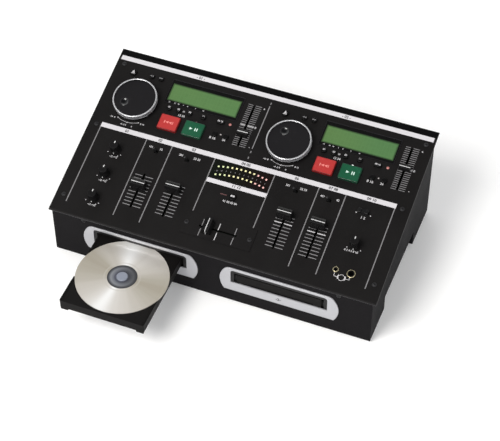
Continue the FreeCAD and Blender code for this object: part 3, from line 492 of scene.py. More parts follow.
# The finishes. The depth is the grain's height in metres, and addSurface has what a row leaves out.
looks = {
    "casePaint": {"color": (0.0066, 0.0061, 0.0068), "worn": (0.013, 0.012, 0.0135), "wear": 0.25,
        "grain": 1500, "roughness": 0.60, "bump": 0.25, "depth": 0.00025, "specular": 0.05},
    "panelPaint": {"color": (0.0048, 0.0042, 0.0042), "worn": (0.011, 0.010, 0.010), "wear": 0.3,
        "grain": 2200, "roughness": 0.46, "bump": 0.14, "depth": 0.0002, "specular": 0.18},
    "silverTrim": {"color": (0.40, 0.40, 0.42), "worn": (0.33, 0.33, 0.35), "wear": 0.3, "grain": 3000,
        "roughness": 0.40, "bump": 0.06, "metallic": 0.3, "coat": 0.1},
    "loaderBlack": {"color": (0.006, 0.0056, 0.006), "worn": (0.016, 0.016, 0.016), "grain": 1800,
        "roughness": 0.5, "bump": 0.2, "depth": 0.0002, "specular": 0.3},
    "trayBlack": {"color": (0.0036, 0.0031, 0.0031), "worn": (0.010, 0.009, 0.008), "wear": 0.35,
        "grain": 1800, "roughness": 0.55, "bump": 0.22, "depth": 0.0002, "specular": 0.10},
    "hubGrey": {"color": (0.20, 0.22, 0.27), "worn": (0.32, 0.34, 0.4), "wear": 0.3, "roughness": 0.35},
    "boardGreen": {"color": (0.0020, 0.0085, 0.0040), "worn": (0.004, 0.016, 0.007), "wear": 0.5,
        "roughness": 0.5, "specular": 0.2},
    "supplyBlack": {"color": (0.015, 0.015, 0.016), "worn": (0.04, 0.04, 0.04), "roughness": 0.5},
    "footRubber": {"color": (0.012, 0.012, 0.012), "worn": (0.05, 0.05, 0.05), "wear": 0.5,
        "roughness": 0.85, "bump": 0.4, "depth": 0.0003},
    "blackScrew": {"color": (0.010, 0.010, 0.011), "worn": (0.045, 0.045, 0.048), "wear": 0.5,
        "roughness": 0.45, "metallic": 0.3, "specular": 0.3},
    "buttonBlack": {"color": (0.0022, 0.0020, 0.0022), "worn": (0.009, 0.009, 0.009), "wear": 0.35,
        "roughness": 0.38, "bump": 0.1, "specular": 0.16},
    "faderBlack": {"color": (0.0034, 0.0031, 0.0034), "worn": (0.013, 0.013, 0.013), "wear": 0.3,
        "roughness": 0.45, "specular": 0.16},
    "knobBlack": {"color": (0.0036, 0.0033, 0.0036), "worn": (0.014, 0.014, 0.014), "wear": 0.35,
        "roughness": 0.46, "specular": 0.14},
    "switchBlack": {"color": (0.0055, 0.0055, 0.006), "worn": (0.026, 0.026, 0.026), "wear": 0.35,
        "roughness": 0.34, "specular": 0.3},
    "barWhite": {"color": (0.585, 0.57, 0.59), "worn": (0.46, 0.45, 0.47), "wear": 0.35, "grain": 3000,
        "roughness": 0.5, "bump": 0.05, "specular": 0.3},
    "printWhite": {"color": (0.50, 0.49, 0.50), "worn": (0.36, 0.35, 0.36), "wear": 0.4, "grain": 3000,
        "roughness": 0.5, "bump": 0.05, "specular": 0.3},
    "printGrey": {"color": (0.20, 0.195, 0.20), "worn": (0.13, 0.13, 0.13), "wear": 0.4, "roughness": 0.5,
        "bump": 0.05, "specular": 0.3},
    "printDark": {"color": (0.035, 0.035, 0.038), "worn": (0.08, 0.08, 0.085), "wear": 0.3,
        "roughness": 0.55},
    "bandBlack": {"color": (0.0016, 0.0016, 0.0018), "worn": (0.005, 0.005, 0.005), "wear": 0.3,
        "roughness": 0.45, "specular": 0.08},
    "capLine": {"color": (0.54, 0.54, 0.54), "worn": (0.38, 0.38, 0.38), "wear": 0.3, "roughness": 0.4},
    "knurlSilver": {"color": (0.56, 0.56, 0.58), "worn": (0.30, 0.30, 0.32), "wear": 0.5, "roughness": 0.30,
        "metallic": 0.6},
    "ringSilver": {"color": (0.72, 0.72, 0.74), "worn": (0.52, 0.52, 0.54), "wear": 0.4, "roughness": 0.26,
        "metallic": 0.7, "coat": 0.2},
    "insertWhite": {"color": (0.72, 0.71, 0.69), "worn": (0.55, 0.54, 0.5), "wear": 0.3, "roughness": 0.4},
    "insertRed": {"color": (0.50, 0.02, 0.018), "worn": (0.35, 0.02, 0.02), "wear": 0.3, "roughness": 0.4},
    "cueRed": {"color": (0.13, 0.006, 0.007), "worn": (0.20, 0.014, 0.012), "wear": 0.4, "roughness": 0.36,
        "specular": 0.3, "glow": (0.9, 0.03, 0.03), "strength": 0.02},
    "cueFace": {"color": (0.35, 0.022, 0.022), "worn": (0.46, 0.062, 0.055), "wear": 0.5, "roughness": 0.36,
        "coat": 0.1, "glow": (0.9, 0.07, 0.06), "strength": 0.05},
    "cueSign": {"color": (0.74, 0.22, 0.20), "worn": (0.60, 0.14, 0.12), "wear": 0.4, "roughness": 0.4},
    "playSign": {"color": (0.55, 0.72, 0.64), "worn": (0.36, 0.52, 0.44), "wear": 0.4, "roughness": 0.4},
    "playGreen": {"color": (0.002, 0.028, 0.013), "worn": (0.006, 0.055, 0.028), "wear": 0.4,
        "roughness": 0.34, "coat": 0.1, "glow": (0.01, 0.35, 0.15), "strength": 0.02},
    "playFace": {"color": (0.004, 0.062, 0.027), "worn": (0.016, 0.115, 0.060), "wear": 0.5,
        "roughness": 0.34, "coat": 0.1, "glow": (0.01, 0.4, 0.16), "strength": 0.02},
    "lampRed": {"color": (0.34, 0.12, 0.11), "roughness": 0.25, "glow": (1.0, 0.45, 0.40),
        "strength": 0.12},
    "lampDull": {"color": (0.085, 0.045, 0.045), "roughness": 0.3, "glow": (0.5, 0.16, 0.15),
        "strength": 0.03},
    "lampPale": {"color": (0.38, 0.35, 0.35), "roughness": 0.3},
    "screenRim": {"color": (0.010, 0.009, 0.011), "worn": (0.02, 0.02, 0.02), "roughness": 0.30,
        "specular": 0.32},
    "jogDish": {"color": (0.004, 0.004, 0.005), "worn": (0.008, 0.008, 0.008), "wear": 0.1,
        "roughness": 0.14, "spread": 0.05, "bump": 0.02, "specular": 0.8},
    "jogTop": {"color": (0.0048, 0.0044, 0.0054), "worn": (0.012, 0.011, 0.013), "wear": 0.4, "grain": 1600,
        "roughness": 0.52, "bump": 0.12, "specular": 0.18},
    "lampWhite": {"color": (0.75, 0.76, 0.76), "roughness": 0.25, "glow": (0.9, 1.0, 0.95),
        "strength": 0.8},
}
materials = {name: surfaceMaterial(name, look) for name, look in looks.items()}
print("console: finishes ready")

# The disc: silver with fine grooves and painted highlight streaks across it, round a clear grey hub.
# The hub's rings are placed in shares of hubScale.
disc = {"y": -122.5, "hub": 19.2, "hubEdge": 0.4, "reach": 1000, "mirrorRing": (22.0, 24.2, 0.3),
        "light": (0.61, 0.585, 0.55), "dark": (0.345, 0.315, 0.255), "paintedGlint": (0.84, 0.84, 0.83),
        "mirrorTint": (0.48, 0.46, 0.42), "mirrorShare": 0.4, "metallic": 0.25, "anisotropic": 0.5,
        "paintedBroadLobe": (84.0, 1.5), "paintedNarrowGlint": (263.0, 40.0), "weak": (98.0, 26.0), "paintedRays": (2.6, 3),
        "paintedRayShare": 0.6, "grooves": 2600, "hubRoughness": 0.14, "discRoughness": 0.16,
        "grooveRoughness": 0.06, "coat": 0.2, "bump": 0.05, "depth": 0.00003,
        "hubShade": (30.0, 0.66, 0.42), "hubScale": 20.0,
        "hubRings": [(0.0, (0.040, 0.044, 0.068)), (0.12, (0.055, 0.060, 0.090)),
                     (0.17, (0.13, 0.142, 0.19)), (0.26, (0.05, 0.056, 0.085)),
                     (0.36, (0.105, 0.115, 0.15)), (0.46, (0.05, 0.054, 0.075)),
                     (0.56, (0.12, 0.128, 0.15)), (0.72, (0.19, 0.20, 0.22)),
                     (0.84, (0.07, 0.073, 0.082)), (0.93, (0.022, 0.023, 0.027))]}


def facing(tree, direction, degrees):
    return vectorNode(tree, "DOT_PRODUCT", direction, (*around((0, 0), 1, degrees), 0))["Value"]


def discMaterial():
    material, tree, shader, vector = newMaterial("discSilver")
    local = flatten(tree, vector, (slotCentre["left"] * mm, disc["y"] * mm, 0))
    zone = zoneNode(tree, local, disc["hub"], disc["reach"], disc["hubEdge"])
    mirror = zoneNode(tree, local, *disc["mirrorRing"])
    level = vectorNode(tree, "MULTIPLY", local, (1, 1, 0))[0]
    outwards = vectorNode(tree, "NORMALIZE", level)[0]
    grooves = addNode(tree, "ShaderNodeTexNoise", {"Scale": disc["grooves"], "W": zone["Radius"]},
                      noise_dimensions="1D").outputs["Fac"]
    # The change from dark to light by angle round the middle, the rays and the narrow and weak glints are
    # painted highlight streaks, fixed on the disc.
    paintedRays = mathNode(tree, "SUBTRACT", noiseNode(tree, outwards, *disc["paintedRays"]), 0.5)
    degrees, tightness = disc["paintedBroadLobe"]
    paintedBroadLobe = mathNode(tree, "POWER", mathNode(tree, "ABSOLUTE", facing(tree, outwards, degrees)), tightness)
    mixed = mathNode(tree, "MULTIPLY_ADD", paintedRays, disc["paintedRayShare"], paintedBroadLobe, clamp=True)
    tint = mixColor(tree, mixed, disc["dark"], disc["light"])
    for degrees, tightness in (disc["paintedNarrowGlint"], disc["weak"]):
        ahead = mathNode(tree, "MAXIMUM", facing(tree, outwards, degrees), 0.0)
        tint = mixColor(tree, mathNode(tree, "POWER", ahead, tightness), tint, disc["paintedGlint"])
    share = mathNode(tree, "MULTIPLY", zone["Radius"], 1 / (disc["hubScale"] * mm))
    hub = colorRamp(tree, share, disc["hubRings"])
    # The hub is painted darker on one side than the other, a painted shade across the hub.
    degrees, middle, depth = disc["hubShade"]
    shade = mathNode(tree, "MULTIPLY_ADD", facing(tree, outwards, degrees), -depth, middle)
    hub = mixColor(tree, shade, disc["hubRings"][-1][1], hub)
    mirrored = mathNode(tree, "MULTIPLY", mirror["Mask"], disc["mirrorShare"])
    band = mixColor(tree, mirrored, tint, disc["mirrorTint"])
    shine = mathNode(tree, "MULTIPLY_ADD", zone["Mask"], disc["discRoughness"], disc["hubRoughness"])
    bump = addNode(tree, "ShaderNodeBump", {"Strength": disc["bump"], "Distance": disc["depth"],
                                            "Height": grooves})
    plugAll(tree, shader, {
        "Base Color": mixColor(tree, zone["Mask"], hub, band),
        "Metallic": mathNode(tree, "MULTIPLY", zone["Mask"], disc["metallic"]),
        "Roughness": mathNode(tree, "MULTIPLY_ADD", grooves, disc["grooveRoughness"], shine),
        "Anisotropic": disc["anisotropic"], "Coat Weight": disc["coat"], "Normal": bump.outputs[0]})
    return material


# The two green screens: a lit field inside a dark frame, with faint character cells. The lit field darkens
# into the frame over a wide soft edge, a painted shade from the recess under the lens frame.
screen = {"place": (21.5, 211.7), "lens": (103.0, 37.0), "lit": (98.6, 27.0), "litShift": (0.2, -0.8),
          "paintedShadeEdge": 2.8, "left": (0.050, 0.140, 0.060), "right": (0.092, 0.158, 0.048),
          "rim": (0.060, 0.130, 0.062), "rimShare": 0.5, "rimReach": 2.5, "frame": (0.004, 0.004, 0.004),
          "glow": 0.24, "rimWidth": 0.8, "rimRise": 0.35, "patch": 9, "shine": 60, "roughness": 0.12,
          "cell": (4.6, 6.5, 0.35), "cellTints": ((1, 1, 1), (0.94, 0.95, 0.94), (1.05, 1.05, 1.05)),
          "cellShare": 0.8, "rowV": 195.6, "rowHeight": 1.6,
          "row": [("12", -22.5), ("34", -14.5), ("56", -9.5), ("7", -2.5), ("8", 3.5), ("9", 14.5),
                  ("10", 26.0)]}


def screenPane(tree, vector, side):
    u, v = deckPlace(side, screen["place"])
    centre = ((u + screen["litShift"][0]) * mm, (v + screen["litShift"][1]) * mm, 0)
    width, height = screen["lit"]
    return addNode(tree, "ShaderNodeGroup",
                   {"Vector": vector, "Centre": centre, "Half Width": width / 2 * mm,
                    "Half Height": height / 2 * mm, "Edge": screen["paintedShadeEdge"] * mm,
                    "Rim Fade": -1 / (screen["rimReach"] * mm)}, node_tree=paneGroup).outputs


def displayMaterial():
    material, tree, shader, vector = newMaterial("displayGreen")
    local = flatten(tree, vector, panelMatrix.translation, panel["slope"])
    panes = [screenPane(tree, local, side) for side in deckCentre]
    mask = mathNode(tree, "ADD", *[pane["Mask"] for pane in panes])
    rim = mathNode(tree, "ADD", *[pane["Rim"] for pane in panes])
    width, height, gap = screen["cell"]
    first, second, mortar = screen["cellTints"]
    cells = addNode(tree, "ShaderNodeTexBrick",
                    {"Vector": local, "Scale": 1.0, "Brick Width": width * mm, "Row Height": height * mm,
                     "Mortar Size": gap * mm, "Color1": first, "Color2": second, "Mortar": mortar}, offset=0)
    green = mixColor(tree, noiseNode(tree, vector, screen["patch"]), screen["left"], screen["right"])
    green = mixColor(tree, screen["cellShare"], green, cells.outputs["Color"], "MULTIPLY")
    green = mixColor(tree, mathNode(tree, "MULTIPLY", rim, screen["rimShare"]), green, screen["rim"])
    shine = noiseNode(tree, vector, screen["shine"])
    # The soft edge of the mask darkens the field towards the frame, a painted shade at the recessed edges.
    plugAll(tree, shader, {
        "Base Color": mixColor(tree, mask, screen["frame"], green),
        "Emission Color": mixColor(tree, mask, (0, 0, 0), green), "Emission Strength": screen["glow"],
        "Roughness": mathNode(tree, "MULTIPLY_ADD", shine, screen["roughness"], screen["roughness"])})
    return material


# Sockets: pale brass outside, black inside the two headphone sockets.
sockets = {"brass": {"color": (0.74, 0.66, 0.42), "worn": (0.55, 0.50, 0.34), "wear": 0.4, "roughness": 0.28,
                     "metallic": 0.9},
           "darkZones": ((180.0, 30.5, 4.7), (159.8, 30.5, 2.85)), "zoneEdge": 0.2,
           "dark": (0.004, 0.004, 0.004)}


def socketMaterial():
    material, tree, shader, vector = newMaterial("socketBrass")
    surface = addSurface(tree, shader, vector, sockets["brass"])
    local = flatten(tree, vector, panelMatrix.translation, panel["slope"])
    masks = []
    for u, v, radius in sockets["darkZones"]:
        spot = shifted(tree, local, (u * mm, v * mm, 0))
        masks.append(zoneNode(tree, spot, -1.0, radius, sockets["zoneEdge"])["Mask"])
    mask = mathNode(tree, "ADD", *masks)
    metal = sockets["brass"]["metallic"]
    plugAll(tree, shader, {"Base Color": mixColor(tree, mask, surface, sockets["dark"]),
                           "Metallic": mathNode(tree, "MULTIPLY_ADD", mask, -metal, metal)})
    return material


# The level meter's window is tinted from green to red, and its lamps lie on two arcs.
meter = {"first": -33.0, "pitch": 6.0, "count": 12, "lamp": 2.25, "radius": 138.0, "rows": (127.6, 115.6),
         "lift": (-0.02, 0.06), "digits": ("20", "10", "7", "5", "4", "3", "2", "1", "0", "1", "2", "3"),
         "digitsDrop": 6.4, "digitsHeight": 1.7, "speck": 700, "speckShare": 0.25, "shine": 90,
         "shineSpread": 0.12,
         "tint": [(0.0, (0.0016, 0.0030, 0.0015)), (0.5, (0.0032, 0.0030, 0.0014)),
                  (0.8, (0.0046, 0.0018, 0.0014))],
         "lamps": [(0.0, (0.52, 0.60, 0.33)), (0.25, (0.70, 0.66, 0.36)), (0.75, (0.64, 0.33, 0.34))]}


def meterMaterial(name, stops, glow, roughness, stepped=False):
    material, tree, shader, vector = newMaterial(name)
    along = addNode(tree, "ShaderNodeMapRange",
                    {"Value": splitNode(tree, vector)[0],
                     "From Min": (meter["first"] - meter["pitch"] / 2) * mm,
                     "From Max": (meter["first"] + meter["pitch"] * (meter["count"] - 0.5)) * mm})
    speck = mathNode(tree, "MULTIPLY", noiseNode(tree, vector, meter["speck"]), meter["speckShare"])
    color = mixColor(tree, speck, colorRamp(tree, along.outputs[0], stops, stepped), stops[1][1])
    shine = mathNode(tree, "MULTIPLY_ADD", noiseNode(tree, vector, meter["shine"]), meter["shineSpread"],
                     roughness)
    plugAll(tree, shader, {"Base Color": color, "Emission Color": color, "Emission Strength": glow,
                           "Roughness": shine})
    return material


materials["discSilver"] = discMaterial()
materials["displayGreen"] = displayMaterial()
materials["socketBrass"] = socketMaterial()
materials["meterWindow"] = meterMaterial("meterWindow", meter["tint"], glow=0.15, roughness=0.2)
materials["meterLamp"] = meterMaterial("meterLamp", meter["lamps"], glow=0.42, roughness=0.25, stepped=True)

# Which finish a frame node takes, by a word in its name. The last one is for the plain buttons and the
# power rocker.
nodeFinish = {
    "base_chassis": "casePaint", "top_panel": "panelPaint", "slot_bezels": "silverTrim",
    "loader_frames": "loaderBlack", "display_modules": "displayGreen", "level_meter": "meterWindow",
    "control_boards": "boardGreen", "audio_sockets": "socketBrass", "mains_supply": "supplyBlack",
    "rubber_feet": "footRubber", "case_screws": "blackScrew", "tray": "trayBlack", "turntable": "hubGrey",
    "disc": "discSilver", "fader": "faderBlack", "switch": "switchBlack", "cue_button": "cueRed",
    "play_button": "playGreen", "jog_wheel": "jogTop", "knob": "knobBlack", "": "buttonBlack",
}
for node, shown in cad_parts.items():
    finish = materials[next(name for word, name in nodeFinish.items() if word in node)]
    for materialSlot in shown.material_slots:
        materialSlot.material = finish
    if not shown.material_slots:
        shown.data.materials.append(finish)
print("console: frame dressed")

# White bars across the panel, the dark digits on them and the thin lines that part the columns.
bars = {"spans": [(-219.4, 219.8, 238.8, 245.4), (-205.4, 203.8, 133.6, 140.4), (-42.2, 41.7, 98.7, 104.9)],
        "digits": [("- 01 -", -104.0, 242.1), ("- 02 -", 101.0, 242.1), ("01", -168.7, 137.0),
                   ("02", -120.5, 137.0), ("03", -73.0, 137.0), ("04 05", 0.0, 137.0), ("06", 70.0, 137.0),
                   ("07 08", 119.5, 137.0), ("09 10", 171.0, 137.0), ("11 12", 0.0, 102.2)],
        "digitHeight": 3.8, "digitHigh": 0.10, "band": (-222.6, 222.6, 245.4, 254.2), "bandHigh": 0.03}
columns = {"long": (-205.0, -138.4, -102.0, 101.7, 138.0, 202.8), "short": (-41.7, 41.1), "longFoot": 16.6,
           "shortFoot": 53.5, "width": 1.3, "divider": (-0.6, 161.0, 228.0), "dashes": (232.0, 156.0, 147.0),
           "dash": 3.2}


def addSpan(mesh, u0, u1, v0, v1, high=printHigh):
    addPlate(mesh, ((u0 + u1) / 2, (v0 + v1) / 2), (u1 - u0, v1 - v0), printLow, high)


def addBars():
    white, dark, band, lines = bmesh.new(), bmesh.new(), bmesh.new(), bmesh.new()
    for span in bars["spans"]:
        addSpan(white, *span)
    for text, u, v in bars["digits"]:
        addDigits(dark, text, (u, v), bars["digitHeight"], 0.0, bars["digitHigh"])
    addSpan(band, *bars["band"], bars["bandHigh"])
    top = bars["spans"][1][2]
    strips = [(u, columns["longFoot"], top) for u in columns["long"]]
    strips += [(u, columns["shortFoot"], top) for u in columns["short"]] + [columns["divider"]]
    strips += [(columns["divider"][0], v - columns["dash"] / 2, v + columns["dash"] / 2)
               for v in columns["dashes"]]
    half = columns["width"] / 2
    for u, v0, v1 in strips:
        addSpan(lines, u - half, u + half, v0, v1)
    finishPiece("panelBars", white, "barWhite")
    finishPiece("barDigits", dark, "printDark")
    finishPiece("rearBand", band, "bandBlack")
    finishPiece("columnLines", lines, "printGrey")


addBars()
print("console: bars and lines printed")

# Scales beside the faders, as rows of short ticks, with brighter ticks at their middles.
scales = {"channelFirst": 36.4, "channelPitch": 4.95, "channelCount": 10, "channelTick": 1.05,
          "channelSpans": ((-133.2, -123.0), (-119.2, -108.3), (-87.6, -77.6), (-73.6, -63.3), (63.2, 73.0),
                           (76.3, 87.0), (107.6, 118.0), (121.2, 132.0)),
          "brightFrom": 4, "brightV": 71.05, "brightWidth": 1.4, "brightHigh": 0.07,
          "pitchFirst": 160.0, "pitchPitch": 3.0, "pitchCount": 22, "pitchTick": 0.85,
          "pitchColumns": ((83.2, 6.8), (94.3, 8.6)), "pitchMiddle": 191.5, "pitchWidth": 1.2,
          "crossTicks": (-22.6, 22.1), "crossMiddle": -0.4, "crossSpans": ((22.0, 32.6), (36.8, 46.2)),
          "crossWidth": 1.1, "crossRise": 0.8}


def tickRow(count, u, v, pitch, size):
    middle = (printLow + printHigh) / 2
    return markRow(count, (u, v, middle), (0, pitch, 0), (*size, printHigh - printLow), "printGrey")


def addScales():
    channels = [((u0 + u1) / 2, u1 - u0) for u0, u1 in scales["channelSpans"]]
    pitches = [(centre + u, long) for centre in deckCentre.values() for u, long in scales["pitchColumns"]]
    rows = []
    for key, places in (("channel", channels), ("pitch", pitches)):
        for u, long in places:
            rows.append(tickRow(scales[key + "Count"], u, scales[key + "First"], scales[key + "Pitch"],
                                (long, scales[key + "Tick"])))
    placePiece("faderScales", joinData("faderScales", rows), "printGrey")
    bright, dim = bmesh.new(), bmesh.new()
    brightChannels = channels[scales["brightFrom"]:]
    middles = [(*place, scales["brightV"], scales["brightWidth"]) for place in brightChannels]
    middles += [(*place, scales["pitchMiddle"], scales["pitchWidth"]) for place in pitches]
    for u, long, v, wide in middles:
        addPlate(bright, (u, v), (long, wide), printLow, scales["brightHigh"])
    rise = scales["crossRise"]
    for mesh, places in ((bright, (scales["crossMiddle"],)), (dim, scales["crossTicks"])):
        for u in places:
            for v0, v1 in scales["crossSpans"]:
                addPlate(mesh, (u, (v0 + v1) / 2), (scales["crossWidth"], v1 - v0), rise + printLow,
                         rise + printHigh)
    finishPiece("scaleMiddles", bright, "printWhite")
    finishPiece("crossTicks", dim, "printGrey")


addScales()
print("console: fader scales printed")

# Plain digits and small marks printed beside the controls.
labels = {
    "deck": [("00", 1.5, 186.8, 2.0), ("12 34", 1.0, 180.0, 3.0), ("8 16", 52.0, 161.0, 3.4),
        ("24", 67.5, 162.0, 3.0), ("+", 102.5, 221.5, 3.0), ("0", 101.0, 191.5, 3.0),
        ("-", 103.5, 161.5, 3.0), ("-16 -8", -87.0, 152.4, 2.2), ("8 16", -44.5, 152.4, 2.2),
        ("-4 -2 0", -69.0, 145.2, 2.2), ("4", -57.0, 145.0, 2.2)],
    "mixer": [("101", -128.9, 124.8, 2.7), ("12", -114.2, 124.8, 2.9), ("201", -86.3, 124.8, 2.8),
        ("22 23", -64.0, 125.0, 2.9), ("301", 62.1, 124.5, 2.8), ("32 33", 83.5, 124.5, 2.9),
        ("401", 109.6, 123.0, 2.8), ("42", 130.4, 123.0, 2.9), ("1 2", 169.0, 109.0, 3.4),
        ("01 02 03 04", -0.4, 78.6, 2.8), ("-12 +12", -171.0, 96.0, 2.4), ("-12 +12", -171.0, 59.0, 2.4),
        ("-12 +12", -171.0, 22.0, 2.4), ("0 2 4 6 8 10", 169.5, 60.5, 2.6)],
    "jogArc": {"radius": 32.0, "from": -118, "to": -62, "width": 0.5, "sides": 28, "arrow": 2.0,
        "arrowRise": 0.02, "arrows": ((-118, 150), (-62, 30), (-90, 90))},
}


def addArcBand(mesh, centre, radius, width, start, stop, sides, low, high):
    outline = []
    for r, steps in ((radius + width / 2, range(sides + 1)), (radius - width / 2, range(sides, -1, -1))):
        outline += [around(centre, r, start + (stop - start) * i / sides) for i in steps]
    addPrism(mesh, outline, low, high)


def addLabels():
    white = bmesh.new()
    for text, u, v, height in labels["mixer"]:
        addDigits(white, text, (u, v), height, printLow, printHigh)
    for side, centre in deckCentre.items():
        for text, u, v, height in labels["deck"]:
            addDigits(white, text, (centre + u, v), height, printLow, printHigh)
        for text, u in screen["row"]:
            addDigits(white, text, (centre + u, screen["rowV"]), screen["rowHeight"], printLow, printHigh)
        arc = labels["jogArc"]
        middle = jogCircle(side)
        addArcBand(white, middle, arc["radius"], arc["width"], arc["from"], arc["to"], arc["sides"],
                   printLow, printHigh)
        for angle, turn in arc["arrows"]:
            addTriangle(white, around(middle, arc["radius"], angle), arc["arrow"], turn, printLow,
                        printHigh + arc["arrowRise"])
    finishPiece("controlDigits", white, "printWhite")


# The jog wheels: a bright ring round the dark top, fine ribs round the rim, a glossy finger dish.
jog = {"gap": 0.05, "ringWidth": 1.5, "ringRise": 0.35, "ringSink": 0.9, "chamfer": 0.35, "foot": 0.2,
       "outerLift": 0.05, "innerLift": 0.1, "innerChamfer": 0.3, "base": (0.8, 0.1),
       "baseLow": 5.55, "baseHigh": 6.25, "ribs": 120, "ribSize": (0.9, 0.8, 5.6), "ribHeight": 8.75,
       "dish": 0.8, "dimple": (14.5, 5.9, 1.55), "angle": {"left": 219.7, "right": 130.4}, "skin": 0.05,
       "dishMesh": {"sides": 32, "rings": 6}}


def jogCircle(side):
    low, high = panelBox("jog_wheel_" + side)
    return (*middleOf(low, high), (high[0] - low[0]) / 2, high[2])


def addBowl(mesh, place, radius, depth, rim, skin, sides, rings):
    ball = (radius ** 2 + depth ** 2) / (2 * depth)
    edges = []
    for shift in (-skin, skin):
        levels = []
        for ring in range(rings, 0, -1):
            r = radius * ring / rings
            n = rim - depth + ball - math.sqrt(ball ** 2 - r ** 2) + shift
            levels.append(addCircle(mesh, place, r, n, sides))
        addSheet(mesh, levels, mesh.verts.new((*place, rim - depth + shift)))
        edges.append(levels[0])
    for i in range(sides):
        j = (i + 1) % sides
        mesh.faces.new((edges[0][i], edges[0][j], edges[1][j], edges[1][i]))


def addJog(side):
    u, v, radius, high = jogCircle(side)
    onJog = {"body": "jog_wheel_" + side, "slot": "jog_black"}
    outer = radius - jog["gap"]
    inner = outer - jog["ringWidth"]
    sunk, top, chamfer = high - jog["ringSink"], high + jog["ringRise"], jog["chamfer"]
    ring = bmesh.new()
    addRing(ring, (u, v), [(inner, sunk), (inner + jog["foot"], sunk), (outer, high - chamfer),
                           (outer, high + jog["outerLift"]), (outer - chamfer, top),
                           (inner + jog["innerChamfer"], top), (inner, high + jog["innerLift"])])
    baseIn, baseOut = outer - jog["base"][0], outer + jog["base"][1]
    addRing(ring, (u, v), [(baseIn, jog["baseLow"]), (baseOut, jog["baseLow"]), (baseOut, jog["baseHigh"]),
                           (baseIn, jog["baseHigh"])])
    finishPiece("jogRing_" + side, ring, "ringSilver", **onJog)
    ribs = fullRing(jog["ribs"], (u, v, jog["ribHeight"]), outer, jog["ribSize"], "knurlSilver")
    placePiece("jogRibs_" + side, ribs, "knurlSilver", **onJog)
    reach, hollow, depth = jog["dimple"]
    dish = bmesh.new()
    addBowl(dish, around((u, v), reach, jog["angle"][side]), hollow, depth, high - jog["dish"], jog["skin"],
            **jog["dishMesh"])
    finishPiece("jogDish_" + side, dish, "jogDish", **onJog)


# Raised rims round the screens, and the rounded lip along the panel's front edge.
def addScreenRims():
    rims = bmesh.new()
    width, height = screen["lens"]
    rim = screen["rimWidth"]
    for side in deckCentre:
        u, v = deckPlace(side, screen["place"])
        for shift in (-1, 1):
            addPlate(rims, (u, v + shift * (height - rim) / 2), (width, rim), printLow, screen["rimRise"])
            addPlate(rims, (u + shift * (width - rim) / 2, v), (rim, height - 2 * rim), printLow,
                     screen["rimRise"])
    finishPiece("screenRims", rims, "screenRim")


lip = {"radius": 0.45, "sides": 12, "endGap": 0.6, "inset": 0.15, "sink": 1.3}


def addFrontLip():
    low, high = panelBox("top_panel")
    roll = bmesh.new()
    outline = [around((0, 0), lip["radius"], 360 * i / lip["sides"]) for i in range(lip["sides"])]
    addPrism(roll, outline, low[0] + lip["endGap"], high[0] - lip["endGap"])
    turn = Matrix(((0, 0, 1, 0), (1, 0, 0, 0), (0, 1, 0, 0), (0, 0, 0, 1)))  # the lip's length runs along u
    place = Matrix.Translation((0, low[1] + lip["inset"], -lip["sink"]))
    finishPiece("frontLip", roll, "screenRim", matrix=panelMatrix @ place @ turn)


addLabels()
addScreenRims()
addFrontLip()
for side in deckCentre:
    addJog(side)
print("console: jog wheels trimmed")

# Signs on the tops of the buttons. Each row has the button's node, the colour and the signs, which are
# placed from the deck's middle, or from the panel's for the relay button. The two big buttons have a
# face of their own, and their signs are placed from its middle.
buttons = {
    "rise": 2.6, "high": 0.06,
    "marks": {
        "time": ("time", "printWhite", [("01", (-19.0, 186.9), 2.4)]),
        "single": ("single", "printWhite", [("02", (-5.5, 186.9), 2.4)]),
        "continue": ("continue", "printWhite", [("03", (10.5, 186.9), 2.4)]),
        "program": ("program", "printGrey", [("04", (30.0, 186.9), 2.4)]),
        "range": ("range", "printWhite", [("08 16", (54.0, 186.4), 2.3)]),
        "eject": ("eject", "printWhite", [("arrow", (-85.7, 224.7), 4.2, 90),
                                          ("plate", (-85.7, 221.6), (5.4, 1.0))]),
        "searchBack": ("search_back", "printGrey", [("arrow", (-60.6, 224.7), 2.5, 180),
                                                    ("arrow", (-58.0, 224.7), 2.5, 180)]),
        "searchForward": ("search_forward", "printGrey", [("arrow", (-47.0, 224.7), 2.5, 0),
                                                          ("arrow", (-44.4, 224.7), 2.5, 0)]),
    },
    "relay": [("plate", (-0.9, 87.2), (2.6, 2.7), 0.9), ("plate", (2.0, 87.2), (2.6, 2.7), 0.9)],
    "bigRise": 3.4, "bigFace": (25.2, 20.2), "bigCorner": 1.2,
    "faceLift": (-0.02, 0.12), "signLift": (0.1, 0.2),
    "big": {
        "cue": ((-10.7, 163.9), "cueFace", "cueSign", "cue_red",
                [("plate", (-5.6, 0), (1.3, 4.2)), ("arrow", (-2.2, 0), 4.0, 180),
                 ("arrow", (2.2, 0), 4.0, 180), ("plate", (5.7, 0), (1.1, 4.0))]),
        "play": ((24.1, 163.9), "playFace", "playSign", "play_green",
                 [("arrow", (-2.9, 0), 4.2, 0), ("plate", (2.9, 0), (1.4, 4.6)),
                  ("plate", (5.5, 0), (1.4, 4.6))]),
    },
}


def addTopSigns(name, node, signs, place, material="printWhite"):
    mesh = bmesh.new()
    addSigns(mesh, signs, place, buttons["rise"] + printLow, buttons["rise"] + buttons["high"])
    finishPiece(name, mesh, material, node, "button_black")


def addBigButton(side, key, place, face, sign, slot, signs):
    low, high = [buttons["bigRise"] + lift for lift in buttons["faceLift"]]
    node = f"{key}_button_{side}"
    spot = deckPlace(side, place)
    plate, mesh = bmesh.new(), bmesh.new()
    addPlate(plate, spot, buttons["bigFace"], low, high, corner=buttons["bigCorner"])
    finishPiece(f"{key}Face_{side}", plate, face, node, slot)
    addSigns(mesh, signs, spot, *[buttons["bigRise"] + lift for lift in buttons["signLift"]])
    finishPiece(f"{key}Mark_{side}", mesh, sign, node, slot)


